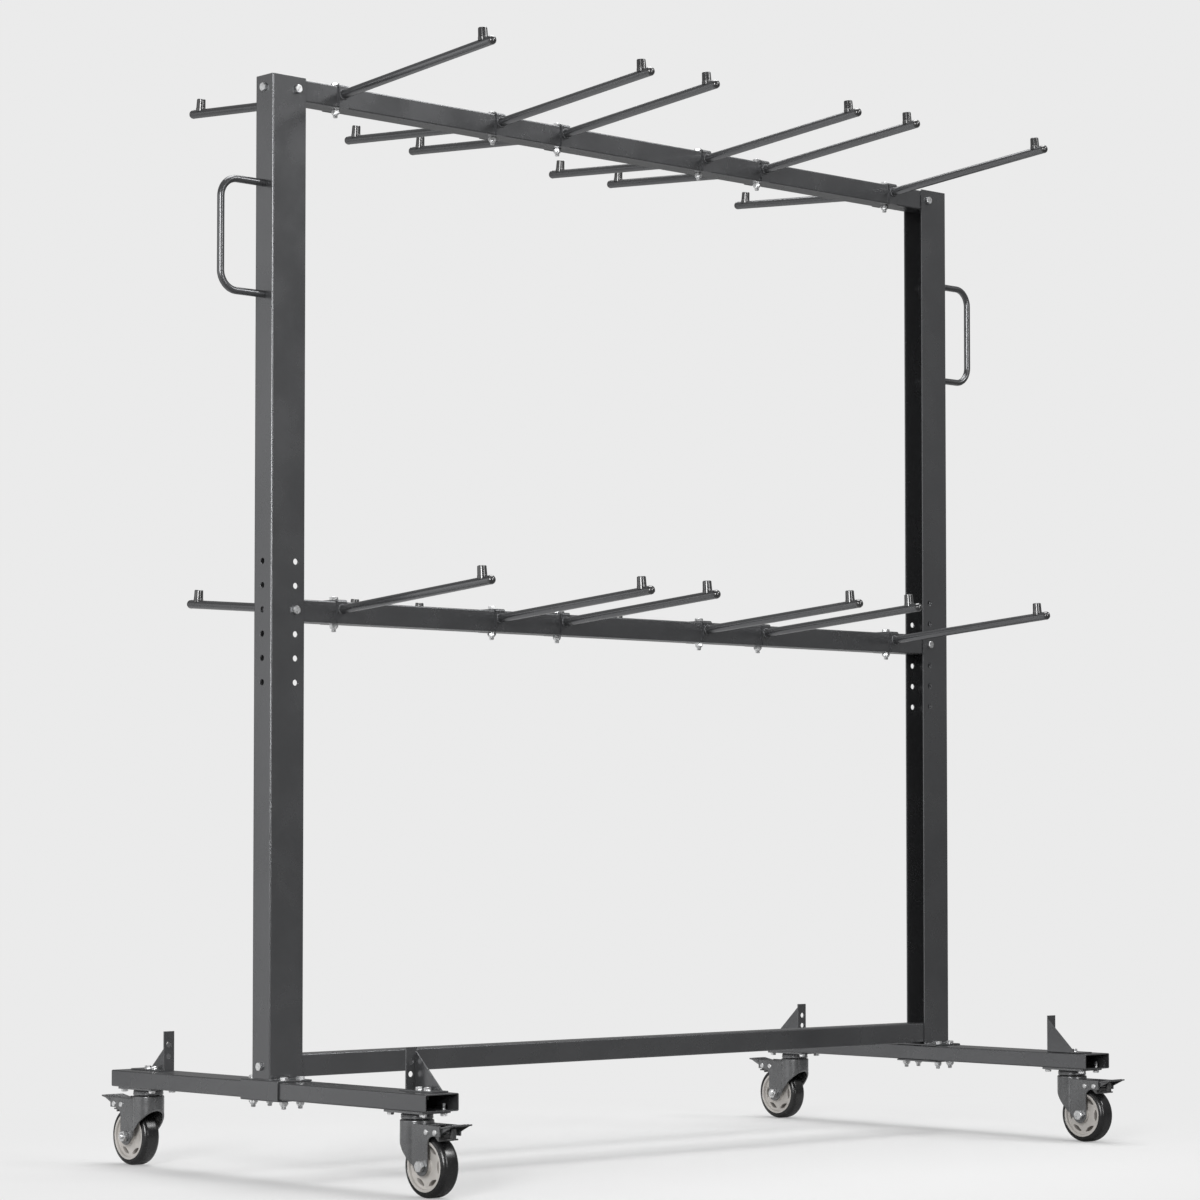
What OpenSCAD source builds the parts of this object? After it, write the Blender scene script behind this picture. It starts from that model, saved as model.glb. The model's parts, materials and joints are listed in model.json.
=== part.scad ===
// Stacking chair trolley: two channel posts on foot tubes with braked swivel casters, three cross
// beams between the posts, and rising chair arms with end stops on the two upper beams.
// X runs along the trolley, Y across it with the front at -Y, and Z up from the floor.

/* [Feet] */
// Length of the trolley over the outer faces of its foot tubes
foot_span = 1650; // [1560:10:1900]
// Width of a foot tube, along the trolley
foot_w = 68; // [66:1:76]
// Height of a foot tube
foot_h = 28; // [26:1:36]
// Length of a foot tube, across the trolley
foot_l = 844; // [800:2:1000]
// Wall of a foot tube
foot_wall = 2; // [1.5:0.1:3]
// Outer corner radius of a foot tube
foot_corner_r = 2.5; // [2:0.1:4]

/* [Posts] */
// Height of the tops of the posts above the floor
post_top_z = 1824; // [1780:1:2000]
// Width of the web of a post, across the trolley
post_w = 47; // [42:1:50]
// Depth of the flanges of a post, along the trolley
post_flange = 69; // [62:1:74]
// Sheet of a post
post_sheet = 2.5; // [2:0.1:3]
// Outer bend radius of a post
post_bend_r = 3.2; // [3.1:0.1:6]
// Sheet of the sleeve that wraps the foot tube under a post
sleeve_t = 3; // [2:0.5:4]
// Length of the sleeve along the foot tube
sleeve_l = 100; // [98:1:120]
// Distance of the sleeve's bolts from its ends
base_bolt_edge = 9; // [8:0.5:11]
// Distance between the sleeve's bolts along the trolley
base_bolt_x = 34; // [28:1:40]
// Height of the top hole of the row that sets the middle beam
hole_top_z = 1017; // [960:0.5:1080]
// Step between the holes of the row
hole_pitch = 40; // [30:1:50]
// Diameter of the holes of the row
hole_d = 10; // [9.5:0.5:11.5]
// Distance of the flange holes from the outer face of the web
hole_inset = 51; // [46:1:53]

/* [Beams] */
// Height of a beam
beam_h = 37; // [34:1:42]
// Wall of a beam
beam_wall = 2; // [1.5:0.1:3]
// Outer corner radius of a beam
beam_corner_r = 2.5; // [2:0.1:4]
// Gap between a beam and the flanges around it
beam_fit = 0.2; // [0.1:0.1:0.5]
// Thickness of the plate that closes the end of a beam
beam_end_t = 5; // [4:0.5:8]
// Height of the bottom beam above the sleeves
bottom_beam_lift = 3; // [1:0.5:8]
// Depth of the top beam below the tops of the posts
top_beam_drop = 2; // [0:0.5:8]

/* [Chair arms] */
// Share of the length between the posts that the stacks of chairs take up
stack_share = 0.994; // [0.95:0.001:1]
// Distance between the two arms that carry one stack
arm_spacing = 349; // [320:1:365]
// Diameter of an arm
arm_d = 15; // [12:0.5:16]
// Wall of an arm's tube
arm_wall = 1.5; // [1.2:0.1:2]
// Distance from the middle of the trolley to the middle of an end cap
arm_reach = 402; // [360:2:440]
// Height of the root of an arm above the middle of its beam
arm_lift = 5; // [2:0.5:7]
// Rise of an arm from its root to its end cap
arm_rise = 29.6; // [10:0.1:45]
// Width of the saddle that carries two arms over a beam
saddle_w = 20; // [18:1:28]
// Sheet of a saddle
saddle_t = 3; // [2.5:0.5:5]
// Diameter of the dome of an end cap
cap_d = 15.5; // [13:0.5:17]
// Length of an end cap inside the tube
cap_spigot_l = 12; // [8:1:15]
// Diameter of a stop stud at its foot
stop_foot_d = 17; // [16:0.5:20]
// Diameter of a stop stud at its top
stop_top_d = 15; // [11:0.5:16]
// Height of a stop stud above the tube
stop_h = 18; // [12:1:26]
// Distance of a stop stud from the middle of the end cap
stop_back = 20; // [18:1:40]

/* [Handles] */
// Diameter of the handle rod
handle_d = 12; // [10:0.5:16]
// Distance between the legs of a handle
handle_span = 185; // [140:5:220]
// Distance from the post to the middle of the grip
handle_stand = 88; // [70:1:110]
// Bend radius of a handle at the middle of the rod
handle_bend_r = 32; // [20:1:42]
// Depth of the middle of the grip below the tops of the posts
handle_drop = 273; // [200:1:420]
// Depth of the threaded holes in a handle's legs
handle_thread_l = 18; // [12:1:24]

/* [Stop brackets] */
// Sheet of a stop bracket
bracket_t = 2.5; // [2:0.5:3.5]
// Width of the upright plate
bracket_plate_w = 22; // [20:1:28]
// Height of the upright plate above the foot tube
bracket_plate_h = 68; // [62:1:90]
// Length of the gusset along the foot tube
bracket_gusset_l = 66; // [50:1:76]
// Length of the base along the foot tube
bracket_base_l = 80; // [79:1:90]
// Width of the base
bracket_base_w = 34; // [30:1:42]
// Distance from the end of the foot tube to the back of the upright plate
bracket_back = 98; // [92:1:110]
// Distance of the gusset from the inner edge of the foot tube
bracket_inset = 6; // [3:1:10]
// Diameter of the holes in the upright plate
bracket_hole_d = 9.5; // [8:0.5:11]
// Height of the lower hole in the upright plate
bracket_hole_z = 25.5; // [16:0.5:28]
// Step between the holes in the upright plate
bracket_hole_step = 20; // [16:1:24]
// Distance of the base's screws from the gusset
bracket_screw_x = 19; // [15:1:22]
// Distance of the base's first screw from the upright plate
bracket_screw_y = 31; // [26:1:52]
// Step between the base's screws
bracket_screw_step = 20; // [16:1:20]

/* [Caster swivel] */
// Height of a caster, from the floor to the foot tube
caster_h = 135; // [133:1:145]
// Distance from the end of the foot tube to the swivel axis
caster_inset = 61; // [56:1:70]
// Thickness of the top plate
plate_t = 3.5; // [3:0.5:4.5]
// Width of the top plate, along the trolley
plate_w = 64; // [60:1:66]
// Length of the top plate, across the trolley
plate_l = 98; // [96:1:104]
// Corner radius of the top plate
plate_corner_r = 8; // [4:1:10]
// Distance between the screws of the top plate along the trolley
plate_hole_x = 42; // [40:1:46]
// Distance between the screws of the top plate across the trolley
plate_hole_y = 80; // [78:1:82]
// Diameter of the swivel head under the plate
head_d = 51.5; // [48:0.5:53]
// Height from the fork to the plate
head_h = 11; // [10.5:0.5:13]
// Wall of the swivel head
head_wall = 3; // [2:0.5:4]
// Diameter of the king pin
king_pin_d = 12; // [10:1:14]
// Diameter of the head of the king pin
king_head_d = 28; // [20:1:30]
// Height of the head of the king pin
king_head_h = 4; // [3:0.5:5]
// Diameter of the swivel's balls
ball_d = 6; // [5:0.5:6.5]
// Diameter of the ring of balls
ball_ring_d = 34; // [30:1:36]
// Number of balls in a swivel
ball_count = 10; // [8:1:12]

/* [Caster fork] */
// Diameter of the round back of the fork
fork_back_d = 54.5; // [53:0.5:58]
// Width of the fork over its cheeks
fork_w = 45; // [44:0.5:47]
// Sheet of the fork
fork_sheet = 3; // [2.5:0.5:3]
// Reach of the cheeks from the swivel axis
fork_reach = 81; // [79:1:86]
// Thickness of the crown of the fork
crown_t = 3.5; // [3:0.5:4.5]
// Drop from the crown to the top of the cheeks
cheek_drop = 5.5; // [4:0.5:6]
// Height of the cheeks in front of the leg
bar_h = 17; // [15:0.5:19]
// Radius of the arch between the leg and the bar
arch_r = 14; // [8:1:18]
// Radius of the leg around the axle
boss_r = 15; // [13:0.5:17]
// Height of the round back below the top of the cheeks
back_drop = 17; // [12:1:24]
// Start of the deck between the cheeks, from the swivel axis
deck_start = 20; // [18:1:24]
// End of the deck between the cheeks, from the swivel axis
deck_end = 44; // [38:1:45]
// Diameter of the rivets in the cheeks
rivet_d = 6; // [5:0.5:7]
// Diameter of the heads of the rivets
rivet_head_d = 9; // [8:0.5:11]
// Height of the heads of the rivets
rivet_head_h = 1.6; // [1:0.2:2.4]
// Distance between the two rivets
rivet_step = 21; // [20:1:23]

/* [Caster wheel] */
// Distance from the swivel axis to the axle
caster_trail = 36; // [34:1:38]
// Diameter of a wheel
wheel_d = 100; // [96:1:103]
// Width of a tyre
wheel_w = 34; // [30:1:36]
// Radius of the shoulders of the tyre
tyre_shoulder_r = 9; // [4:0.5:9]
// Diameter of the rim inside the tyre
rim_d = 81; // [74:1:84]
// Thickness of the rim
rim_t = 4; // [3:0.5:5]
// Thickness of the disc between rim and boss
disc_t = 22; // [16:1:26]
// Diameter of the boss of the hub
hub_boss_d = 27; // [22:1:30]
// Number of windows in each face of a hub
window_count = 6; // [5:1:8]
// Diameter of the ring of windows
window_ring_d = 58; // [54:1:60]
// Length of a window along the ring
window_l = 22; // [16:0.5:23]
// Width of a window in its middle
window_w = 7; // [5:0.5:9]
// Thickness of the wall at the bottom of a window
window_floor_t = 2; // [1:0.5:4]
// Diameter of the axle bolt
axle_d = 10; // [8:1:11]
// Outer diameter of the axle sleeve
axle_sleeve_d = 15; // [14:0.5:17]
// Width across flats of the axle bolt and nut
axle_af = 17; // [16:0.5:19]
// Height of the axle bolt's head
axle_head_h = 6.4; // [5:0.1:8]
// Height of the axle nut
axle_nut_h = 8; // [6:0.5:10]

/* [Caster brake] */
// Distance of the pedal's pivot in front of the axle
pivot_ahead = 34; // [33:0.5:36]
// Depth of the pivot below the top of the cheeks
pivot_drop = 11; // [10:0.5:12]
// Width of the front plate of a pedal
pedal_w = 45; // [38:1:50]
// Sheet of a pedal
pedal_t = 2.5; // [2:0.5:3]
// Reach of a pedal in front of its pivot
pedal_front = 37; // [32:1:44]
// Height of the tip of a pedal above its pivot
pedal_tip_z = 13.5; // [11:0.5:15]
// Reach of a pedal behind its pivot
pedal_back = 10; // [8:0.5:11]
// Height of the back of a pedal above its pivot
pedal_back_z = 5.5; // [4.5:0.5:7]
// Radius of the ears of a pedal around its pivot
pedal_ear_r = 6; // [5:0.5:7]
// Gap between the pedal and the cheeks beside it
pedal_side_gap = 1; // [0.5:0.1:1.5]
// Gap between the brake pad and the tyre
pad_gap = 2.5; // [2.2:0.1:4]
// Reach of the pad behind the pivot
pad_back = 14; // [10:0.5:15]
// Reach of the pad in front of the pivot
pad_front = 2; // [0:0.5:4]
// Depth of the pad below the pivot
pad_low = 14; // [12:0.5:15]
// Reach of the pad's tongue in front of the pivot
tongue_front = 22; // [14:1:26]
// Thickness of the tongue
tongue_t = 2.5; // [2:0.5:3]
// Width of the tongue
tongue_w = 14; // [10:1:20]

/* [Fasteners] */
// Diameter of the frame bolts
bolt_d = 8; // [6:0.5:8.5]
// Width across flats of the frame bolts and nuts
bolt_af = 13; // [12.5:0.5:14]
// Height of the head of a frame bolt
bolt_head_h = 5.3; // [4:0.1:6]
// Height of a nut
nut_h = 8; // [5:0.5:9]
// Thread that stands proud of a nut
bolt_proud = 5; // [2:0.5:6]
// Diameter of the flanged screws
screw_d = 6; // [5:0.5:6.5]
// Diameter of the flange of a screw
screw_flange_d = 13; // [12:0.5:13.5]
// Thickness of the flange of a screw
screw_flange_t = 1.4; // [1:0.1:2]
// Width across flats of a screw
screw_af = 10; // [8:0.5:10.5]
// Height of a screw's head with its flange
screw_head_h = 5; // [4:0.5:5]
// Thread of a bracket or caster screw inside the foot tube
screw_proud = 10; // [6:0.5:11]

/* [Hidden] */
$fn = 64;
// Colours
paint = "#55565a";
zinc = "#c3c6c9";
black = "#1b1b1c";
hub_grey = "#bdb5ab";
// Distance that cuts run past the faces they open
overrun = 1;
// Sides of a hexagon
hex_sides = 6;
// Gap around a bolt or screw in a clear hole
bolt_gap = 0.5;
// Gap between a thread and the metal that holds it
thread_gap = 0.05;
// Gap of a running fit
run_gap = 0.05;
// Gap between pieces that slip over each other and stay put
slip_gap = 0.1;
// Gap between faces that pass each other
pass_gap = 0.4;

// Foot tubes
foot_mid_z = caster_h + foot_h / 2;
foot_top_z = caster_h + foot_h;
foot_x = (foot_span - foot_w) / 2;

// Posts
sleeve_top_z = foot_top_z + slip_gap + sleeve_t;
sleeve_low_z = caster_h - slip_gap - sleeve_t;
post_inner_w = post_w - 2 * post_sheet;
post_l = post_top_z - sleeve_top_z;
hole_count = 6;
// Hole of the row that holds the middle beam, from the top
beam_hole = 3;
hole_zs = [for (i = [0 : hole_count - 1]) hole_top_z - i * hole_pitch];
hole_x = foot_span / 2 - hole_inset;
base_bolts = [for (x = [-1, 1], y = [-1, 1])
    [x * base_bolt_x / 2, y * (sleeve_l / 2 - base_bolt_edge)]];

// Beams
beam_d = post_inner_w - 2 * beam_fit;
beam_l = foot_span - 2 * max(post_sheet, post_bend_r);
bottom_beam_z = sleeve_top_z + bottom_beam_lift + beam_h / 2;
middle_beam_z = hole_zs[beam_hole - 1];
top_beam_z = post_top_z - top_beam_drop - beam_h / 2;

// Chair arms
stack_count = 3;
stack_pitch = stack_share * (foot_span - 2 * post_flange) / stack_count;
arm_xs = [for (i = [0 : stack_count - 1], side = [-1, 1])
    (i - (stack_count - 1) / 2) * stack_pitch + side * arm_spacing / 2];
saddle_in = beam_d / 2 + slip_gap;
saddle_out = saddle_in + saddle_t;
saddle_top = beam_h / 2 + slip_gap + saddle_t;
arm_root_y = saddle_out - saddle_t / 2;
arm_tilt = atan2(arm_rise, arm_reach - arm_root_y);
arm_l = norm([arm_rise, arm_reach - arm_root_y]);
arm_bore_d = arm_d - 2 * arm_wall;
// Length of the arm that is closed at its root
arm_root_l = 2 * saddle_t;
// Share of an arm's diameter that the foot of a stop stud reaches around
stop_seat_share = 0.25;
// Share of the stud's foot that its pin takes up
stop_pin_share = 0.35;
stop_pin_d = stop_foot_d * stop_pin_share;

// Handles
handle_z = post_top_z - handle_drop;
handle_leg_l = handle_stand - handle_bend_r;
handle_leg_zs = [handle_z - handle_span / 2, handle_z + handle_span / 2];

// Stop brackets
bracket_x = foot_x - foot_w / 2 + bracket_inset;
bracket_y = foot_l / 2 - bracket_back;
bracket_screws = [for (i = [0, 1]) [bracket_screw_x, bracket_screw_y + i * bracket_screw_step]];
// Share of the upright plate's height at which the gusset starts
bracket_gusset_share = 0.9;

// Casters
caster_y = foot_l / 2 - caster_inset;
plate_low_z = caster_h - plate_t;
plate_holes = [for (x = [-1, 1], y = [-1, 1]) [x * plate_hole_x / 2, y * plate_hole_y / 2]];
crown_z = plate_low_z - head_h;
cheek_z = crown_z - cheek_drop;
bar_z = cheek_z - bar_h;
fork_in = fork_w / 2 - fork_sheet;
axle_z = wheel_d / 2;
// The swivel's parts, above the crown
head_low_z = crown_z + 3 * pass_gap;
ball_z = crown_z + pass_gap + ball_d / 2;
race_z = ball_z + ball_d / 2 + run_gap;
king_head_z = crown_z - crown_t - pass_gap - king_head_h;
hub_half = fork_in - pass_gap;
rim_half = wheel_w / 2 - pass_gap;
tyre_in_r = rim_d / 2 + run_gap;
tyre_edge_r = min(tyre_shoulder_r, wheel_d / 2 - tyre_in_r);

// Brake, seen from the side: distance from the swivel axis towards the wheel, and height
pivot = [caster_trail + pivot_ahead, cheek_z - pivot_drop];
rear_rivet = pivot - [rivet_step, 0];
axle = [caster_trail, axle_z];
pedal_neck_w = 2 * (fork_in - pedal_side_gap);
// Start of the pedal's front plate, clear of the ends of the cheeks
pedal_step = fork_reach - pivot[0] + pedal_t;
pad_w = pedal_neck_w - 2 * pedal_t - 2 * slip_gap;
pad_top = -rivet_d / 2 - pass_gap;

// Place, side and end of each corner of the trolley
corners = [
    ["front_left", -1, -1],
    ["front_right", 1, -1],
    ["rear_left", -1, 1],
    ["rear_right", 1, 1],
];
corner_pieces = ["stop_bracket", "swivel_plate", "fork", "axle", "wheel_hub", "tyre",
    "brake_pedal", "brake_pad"];

// Height of the pedal's top face above the pivot, at a distance in front of it
function pedal_line(t) = pedal_back_z
    + (t + pedal_back) * (pedal_tip_z - pedal_back_z) / (pedal_front + pedal_back);

// Point where the lower tangent from a point meets a circle
function tangent_point(from, centre, r) =
    let (way = centre - from, far = norm(way))
    let (turn = atan2(way[1], way[0]) - asin(r / far))
    from + sqrt(far * far - r * r) * [cos(turn), sin(turn)];

// The left side is drawn, and the right side is its mirror image
module on_side(side) {
    if (side < 0) children();
    else mirror([1, 0, 0]) children();
}

module at_corner(c) {
    on_side(c[1]) mirror([0, c[2] < 0 ? 0 : 1, 0]) children();
}

// A caster's place, with its wheel towards -Y before it is turned
module at_caster(c) {
    translate([c[1] * foot_x, c[2] * caster_y, 0])
        rotate(c[2] < 0 ? 0 : 180)
            children();
}

module round_rect(w, h, r) {
    if (r > 0) {
        square([w - 2 * r, h], center = true);
        square([w, h - 2 * r], center = true);
        for (x = [-1, 1], y = [-1, 1])
            translate([x * (w / 2 - r), y * (h / 2 - r)])
                circle(r);
    } else {
        square([w, h], center = true);
    }
}

module tube_section(w, h, wall, r) {
    difference() {
        round_rect(w, h, r);
        round_rect(w - 2 * wall, h - 2 * wall, r - wall);
    }
}

// Extrudes a side view, drawn as distance towards -Y and height, across X
module side_extrude(w) {
    rotate([90, 0, -90])
        linear_extrude(w, center = true)
            children();
}

module along_x(d, l) {
    rotate([0, 90, 0])
        cylinder(d = d, h = l, center = true);
}

module hexagon(af, h) {
    cylinder(d = af / cos(180 / hex_sides), h = h, $fn = hex_sides);
}

// Seat at height zero, head above and shank below
module hex_bolt(l) {
    hexagon(bolt_af, bolt_head_h);
    translate([0, 0, -l])
        cylinder(d = bolt_d, h = l + bolt_head_h / 2);
}

// Seat at height zero, nut below
module hex_nut() {
    translate([0, 0, -nut_h])
        difference() {
            hexagon(bolt_af, nut_h);
            translate([0, 0, -overrun])
                cylinder(d = bolt_d + 2 * thread_gap, h = nut_h + 2 * overrun);
        }
}

module flange_screw(l) {
    cylinder(d = screw_flange_d, h = screw_flange_t);
    hexagon(screw_af, screw_head_h);
    translate([0, 0, -l])
        cylinder(d = screw_d, h = l + screw_flange_t);
}

// Section of a post: web at zero, flanges towards +X
module channel_outline(depth, w, r) {
    translate([r, -w / 2])
        square([depth - r, w]);
    translate([0, r - w / 2])
        square([depth, w - 2 * r]);
    if (r > 0)
        for (y = [-1, 1])
            translate([r, y * (w / 2 - r)])
                circle(r);
}

module channel_section() {
    difference() {
        channel_outline(post_flange, post_w, post_bend_r);
        translate([post_sheet, 0])
            channel_outline(post_flange, post_inner_w, max(0, post_bend_r - post_sheet));
    }
}

// Sleeve over the top, the outer side and the bottom of a foot tube
module sleeve() {
    translate([-foot_span / 2 - slip_gap - sleeve_t, -sleeve_l / 2, sleeve_low_z])
        difference() {
            cube([foot_w + slip_gap + sleeve_t, sleeve_l, sleeve_top_z - sleeve_low_z]);
            translate([sleeve_t, -overrun, sleeve_t])
                cube([
                    foot_w + slip_gap + overrun,
                    sleeve_l + 2 * overrun,
                    foot_h + 2 * slip_gap
                ]);
        }
}

module web_hole(z, d) {
    translate([-foot_span / 2, 0, z])
        along_x(d, 4 * post_bend_r);
}

module flange_hole(z, d) {
    translate([-hole_x, 0, z])
        rotate([90, 0, 0])
            cylinder(d = d, h = post_w + 2 * overrun, center = true);
}

module base_bolt_holes() {
    for (p = base_bolts)
        translate([-foot_x + p[0], p[1], sleeve_low_z - overrun])
            cylinder(d = bolt_d + 2 * bolt_gap, h = sleeve_top_z - sleeve_low_z + 2 * overrun);
}

module post(side) {
    color(paint)
        on_side(side)
            difference() {
                union() {
                    translate([-foot_span / 2, 0, sleeve_top_z])
                        linear_extrude(post_l)
                            channel_section();
                    sleeve();
                }
                for (z = hole_zs) {
                    web_hole(z, hole_d);
                    flange_hole(z, hole_d);
                }
                for (z = [bottom_beam_z, top_beam_z])
                    web_hole(z, bolt_d + 2 * bolt_gap);
                flange_hole(top_beam_z, bolt_d + 2 * bolt_gap);
                for (z = handle_leg_zs)
                    web_hole(z, screw_d + 2 * bolt_gap);
                base_bolt_holes();
            }
}

module foot_tube(side) {
    color(paint)
        on_side(side)
            difference() {
                translate([-foot_x, 0, foot_mid_z])
                    rotate([90, 0, 0])
                        linear_extrude(foot_l, center = true)
                            tube_section(foot_w, foot_h, foot_wall, foot_corner_r);
                base_bolt_holes();
                for (end = [0, 1])
                    mirror([0, end, 0]) {
                        for (p = bracket_screws)
                            translate([-bracket_x - p[0], -bracket_y - p[1], foot_mid_z])
                                cylinder(d = screw_d + 2 * thread_gap, h = foot_h);
                        for (p = plate_holes)
                            translate([-foot_x + p[0], -caster_y + p[1], foot_mid_z - foot_h])
                                cylinder(d = screw_d + 2 * thread_gap, h = foot_h);
                    }
            }
}

// A beam closed by end plates, with tapped ends or cross holes, and holes for the saddles' bolts
module beam(z, tapped, crossed, drilled) {
    color(paint)
        translate([0, 0, z])
            difference() {
                union() {
                    rotate([90, 0, 90])
                        linear_extrude(beam_l, center = true)
                            tube_section(beam_d, beam_h, beam_wall, beam_corner_r);
                    for (side = [-1, 1])
                        translate([side * (beam_l - beam_end_t) / 2, 0, 0])
                            rotate([90, 0, 90])
                                linear_extrude(beam_end_t, center = true)
                                    round_rect(beam_d, beam_h, beam_corner_r);
                }
                for (side = [-1, 1]) {
                    if (tapped)
                        translate([side * beam_l / 2, 0, 0])
                            along_x(bolt_d + 2 * thread_gap, 4 * beam_end_t);
                    if (crossed)
                        translate([side * hole_x, 0, 0])
                            rotate([90, 0, 0])
                                cylinder(
                                    d = bolt_d + 2 * bolt_gap,
                                    h = beam_d + 2 * overrun,
                                    center = true
                                );
                }
                if (drilled)
                    for (x = arm_xs)
                        translate([x, 0, 0])
                            cylinder(
                                d = bolt_d + 2 * bolt_gap,
                                h = beam_h + 2 * overrun,
                                center = true
                            );
            }
}

// An arm's own frame: Z along the tube from its root, Y square to it and upwards
module along_arm() {
    translate([0, -arm_root_y, arm_lift])
        rotate([90 - arm_tilt, 0, 0])
            children();
}

// Both arms of every saddle on the two upper beams
module at_each_arm() {
    for (z = [middle_beam_z, top_beam_z], x = arm_xs, back = [0, 1])
        translate([x, 0, z])
            mirror([0, back, 0])
                along_arm()
                    children();
}

module chair_arm(x, z) {
    color(paint)
        translate([x, 0, z])
            difference() {
                union() {
                    translate([-saddle_w / 2, -saddle_out, -beam_h / 2])
                        cube([saddle_w, 2 * saddle_out, beam_h / 2 + saddle_top]);
                    for (back = [0, 1])
                        mirror([0, back, 0])
                            along_arm()
                                cylinder(d = arm_d, h = arm_l);
                }
                translate([-saddle_w / 2 - overrun, -saddle_in, -beam_h / 2 - overrun])
                    cube([
                        saddle_w + 2 * overrun,
                        2 * saddle_in,
                        beam_h + slip_gap + overrun
                    ]);
                cylinder(d = bolt_d + 2 * bolt_gap, h = saddle_top + overrun);
                for (back = [0, 1])
                    mirror([0, back, 0])
                        along_arm() {
                            translate([0, 0, arm_root_l])
                                cylinder(d = arm_bore_d, h = arm_l - arm_root_l + overrun);
                            translate([0, 0, arm_l - stop_back])
                                rotate([-90, 0, 0])
                                    cylinder(d = stop_pin_d + 2 * slip_gap, h = arm_d);
                        }
            }
}

// Dome over the end of a tube, with a spigot inside it
module arm_end_caps() {
    color(black)
        at_each_arm()
            translate([0, 0, arm_l])
                rotate_extrude() {
                    intersection() {
                        circle(d = cap_d);
                        square([cap_d, cap_d]);
                    }
                    translate([0, -cap_spigot_l])
                        square([arm_bore_d / 2 - slip_gap, cap_spigot_l + slip_gap]);
                }
}

// Tapered stud whose foot sits around the top of a tube, with a pin in the tube's wall
module arm_stop_studs() {
    stud_low = arm_d / 2 - arm_d * stop_seat_share;
    color(black)
        at_each_arm()
            translate([0, 0, arm_l - stop_back]) {
                difference() {
                    rotate([-90, 0, 0])
                        translate([0, 0, stud_low])
                            cylinder(
                                d1 = stop_foot_d,
                                d2 = stop_top_d,
                                h = stop_h + arm_d / 2 - stud_low
                            );
                    cylinder(d = arm_d + 2 * slip_gap, h = 2 * stop_foot_d, center = true);
                }
                rotate([-90, 0, 0])
                    translate([0, 0, arm_d / 2 - arm_wall])
                        cylinder(d = stop_pin_d, h = arm_wall + stop_h / 2);
            }
}

module handle(side) {
    color(paint)
        on_side(side)
            translate([-foot_span / 2, 0, handle_z])
                difference() {
                    union() {
                        for (up = [0, 1])
                            mirror([0, 0, up])
                                translate([0, 0, handle_span / 2]) {
                                    rotate([0, -90, 0])
                                        cylinder(d = handle_d, h = handle_leg_l);
                                    translate([-handle_leg_l, 0, -handle_bend_r])
                                        rotate([90, 0, 0])
                                            rotate(90)
                                                rotate_extrude(angle = 90)
                                                    translate([handle_bend_r, 0])
                                                        circle(d = handle_d);
                                }
                        translate([-handle_stand, 0, 0])
                            cylinder(
                                d = handle_d,
                                h = handle_span - 2 * handle_bend_r,
                                center = true
                            );
                    }
                    for (up = [-1, 1])
                        translate([0, 0, up * handle_span / 2])
                            along_x(screw_d + 2 * thread_gap, 2 * handle_thread_l);
                }
}

// Upright plate, gusset and base, drawn for the front left corner
module stop_bracket(c) {
    color(paint)
        at_corner(c)
            translate([-bracket_x, -bracket_y, foot_top_z])
                difference() {
                    union() {
                        translate([-bracket_plate_w, -bracket_t, 0])
                            cube([bracket_plate_w, bracket_t, bracket_plate_h]);
                        translate([-bracket_base_w, -bracket_base_l, 0])
                            cube([bracket_base_w, bracket_base_l, bracket_t]);
                        translate([-bracket_t / 2, 0, 0])
                            side_extrude(bracket_t)
                                polygon([
                                    [0, 0],
                                    [bracket_gusset_l, 0],
                                    [bracket_gusset_l, bracket_t],
                                    [bracket_t, bracket_plate_h * bracket_gusset_share],
                                    [0, bracket_plate_h * bracket_gusset_share]
                                ]);
                    }
                    for (i = [0, 1])
                        translate([
                            -(bracket_plate_w + bracket_t) / 2,
                            0,
                            bracket_hole_z + i * bracket_hole_step
                        ])
                            rotate([90, 0, 0])
                                cylinder(d = bracket_hole_d, h = 4 * bracket_t, center = true);
                    for (p = bracket_screws)
                        translate([-p[0], -p[1], 0])
                            cylinder(
                                d = screw_d + 2 * bolt_gap,
                                h = 4 * bracket_t,
                                center = true
                            );
                }
}

module arm_bolts() {
    color(zinc)
        for (z = [middle_beam_z, top_beam_z], x = arm_xs)
            translate([x, 0, z + saddle_top])
                hex_bolt(saddle_top + beam_h / 2 + nut_h + bolt_proud);
}

// Turns a vertical bolt so that its head faces outwards on the left web, or forwards
module on_web(z) {
    translate([-foot_span / 2, 0, z])
        rotate([0, -90, 0])
            children();
}

module on_flange(y, z) {
    translate([-hole_x, y, z])
        rotate([90, 0, 0])
            children();
}

module frame_bolts() {
    color(zinc)
        for (side = [-1, 1])
            on_side(side) {
                for (p = base_bolts)
                    translate([-foot_x + p[0], p[1], sleeve_top_z])
                        hex_bolt(sleeve_top_z - sleeve_low_z + nut_h + bolt_proud);
                for (z = [bottom_beam_z, top_beam_z])
                    on_web(z)
                        hex_bolt((foot_span - beam_l) / 2 + beam_end_t + bolt_proud);
                for (z = [middle_beam_z, top_beam_z])
                    on_flange(-post_w / 2, z)
                        hex_bolt(post_w + nut_h + bolt_proud);
            }
}

module hex_nuts() {
    color(zinc) {
        for (z = [middle_beam_z, top_beam_z], x = arm_xs)
            translate([x, 0, z - beam_h / 2])
                hex_nut();
        for (side = [-1, 1])
            on_side(side) {
                for (p = base_bolts)
                    translate([-foot_x + p[0], p[1], sleeve_low_z])
                        hex_nut();
                for (z = [middle_beam_z, top_beam_z])
                    on_flange(post_w / 2, z)
                        hex_nut();
            }
    }
}

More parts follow.
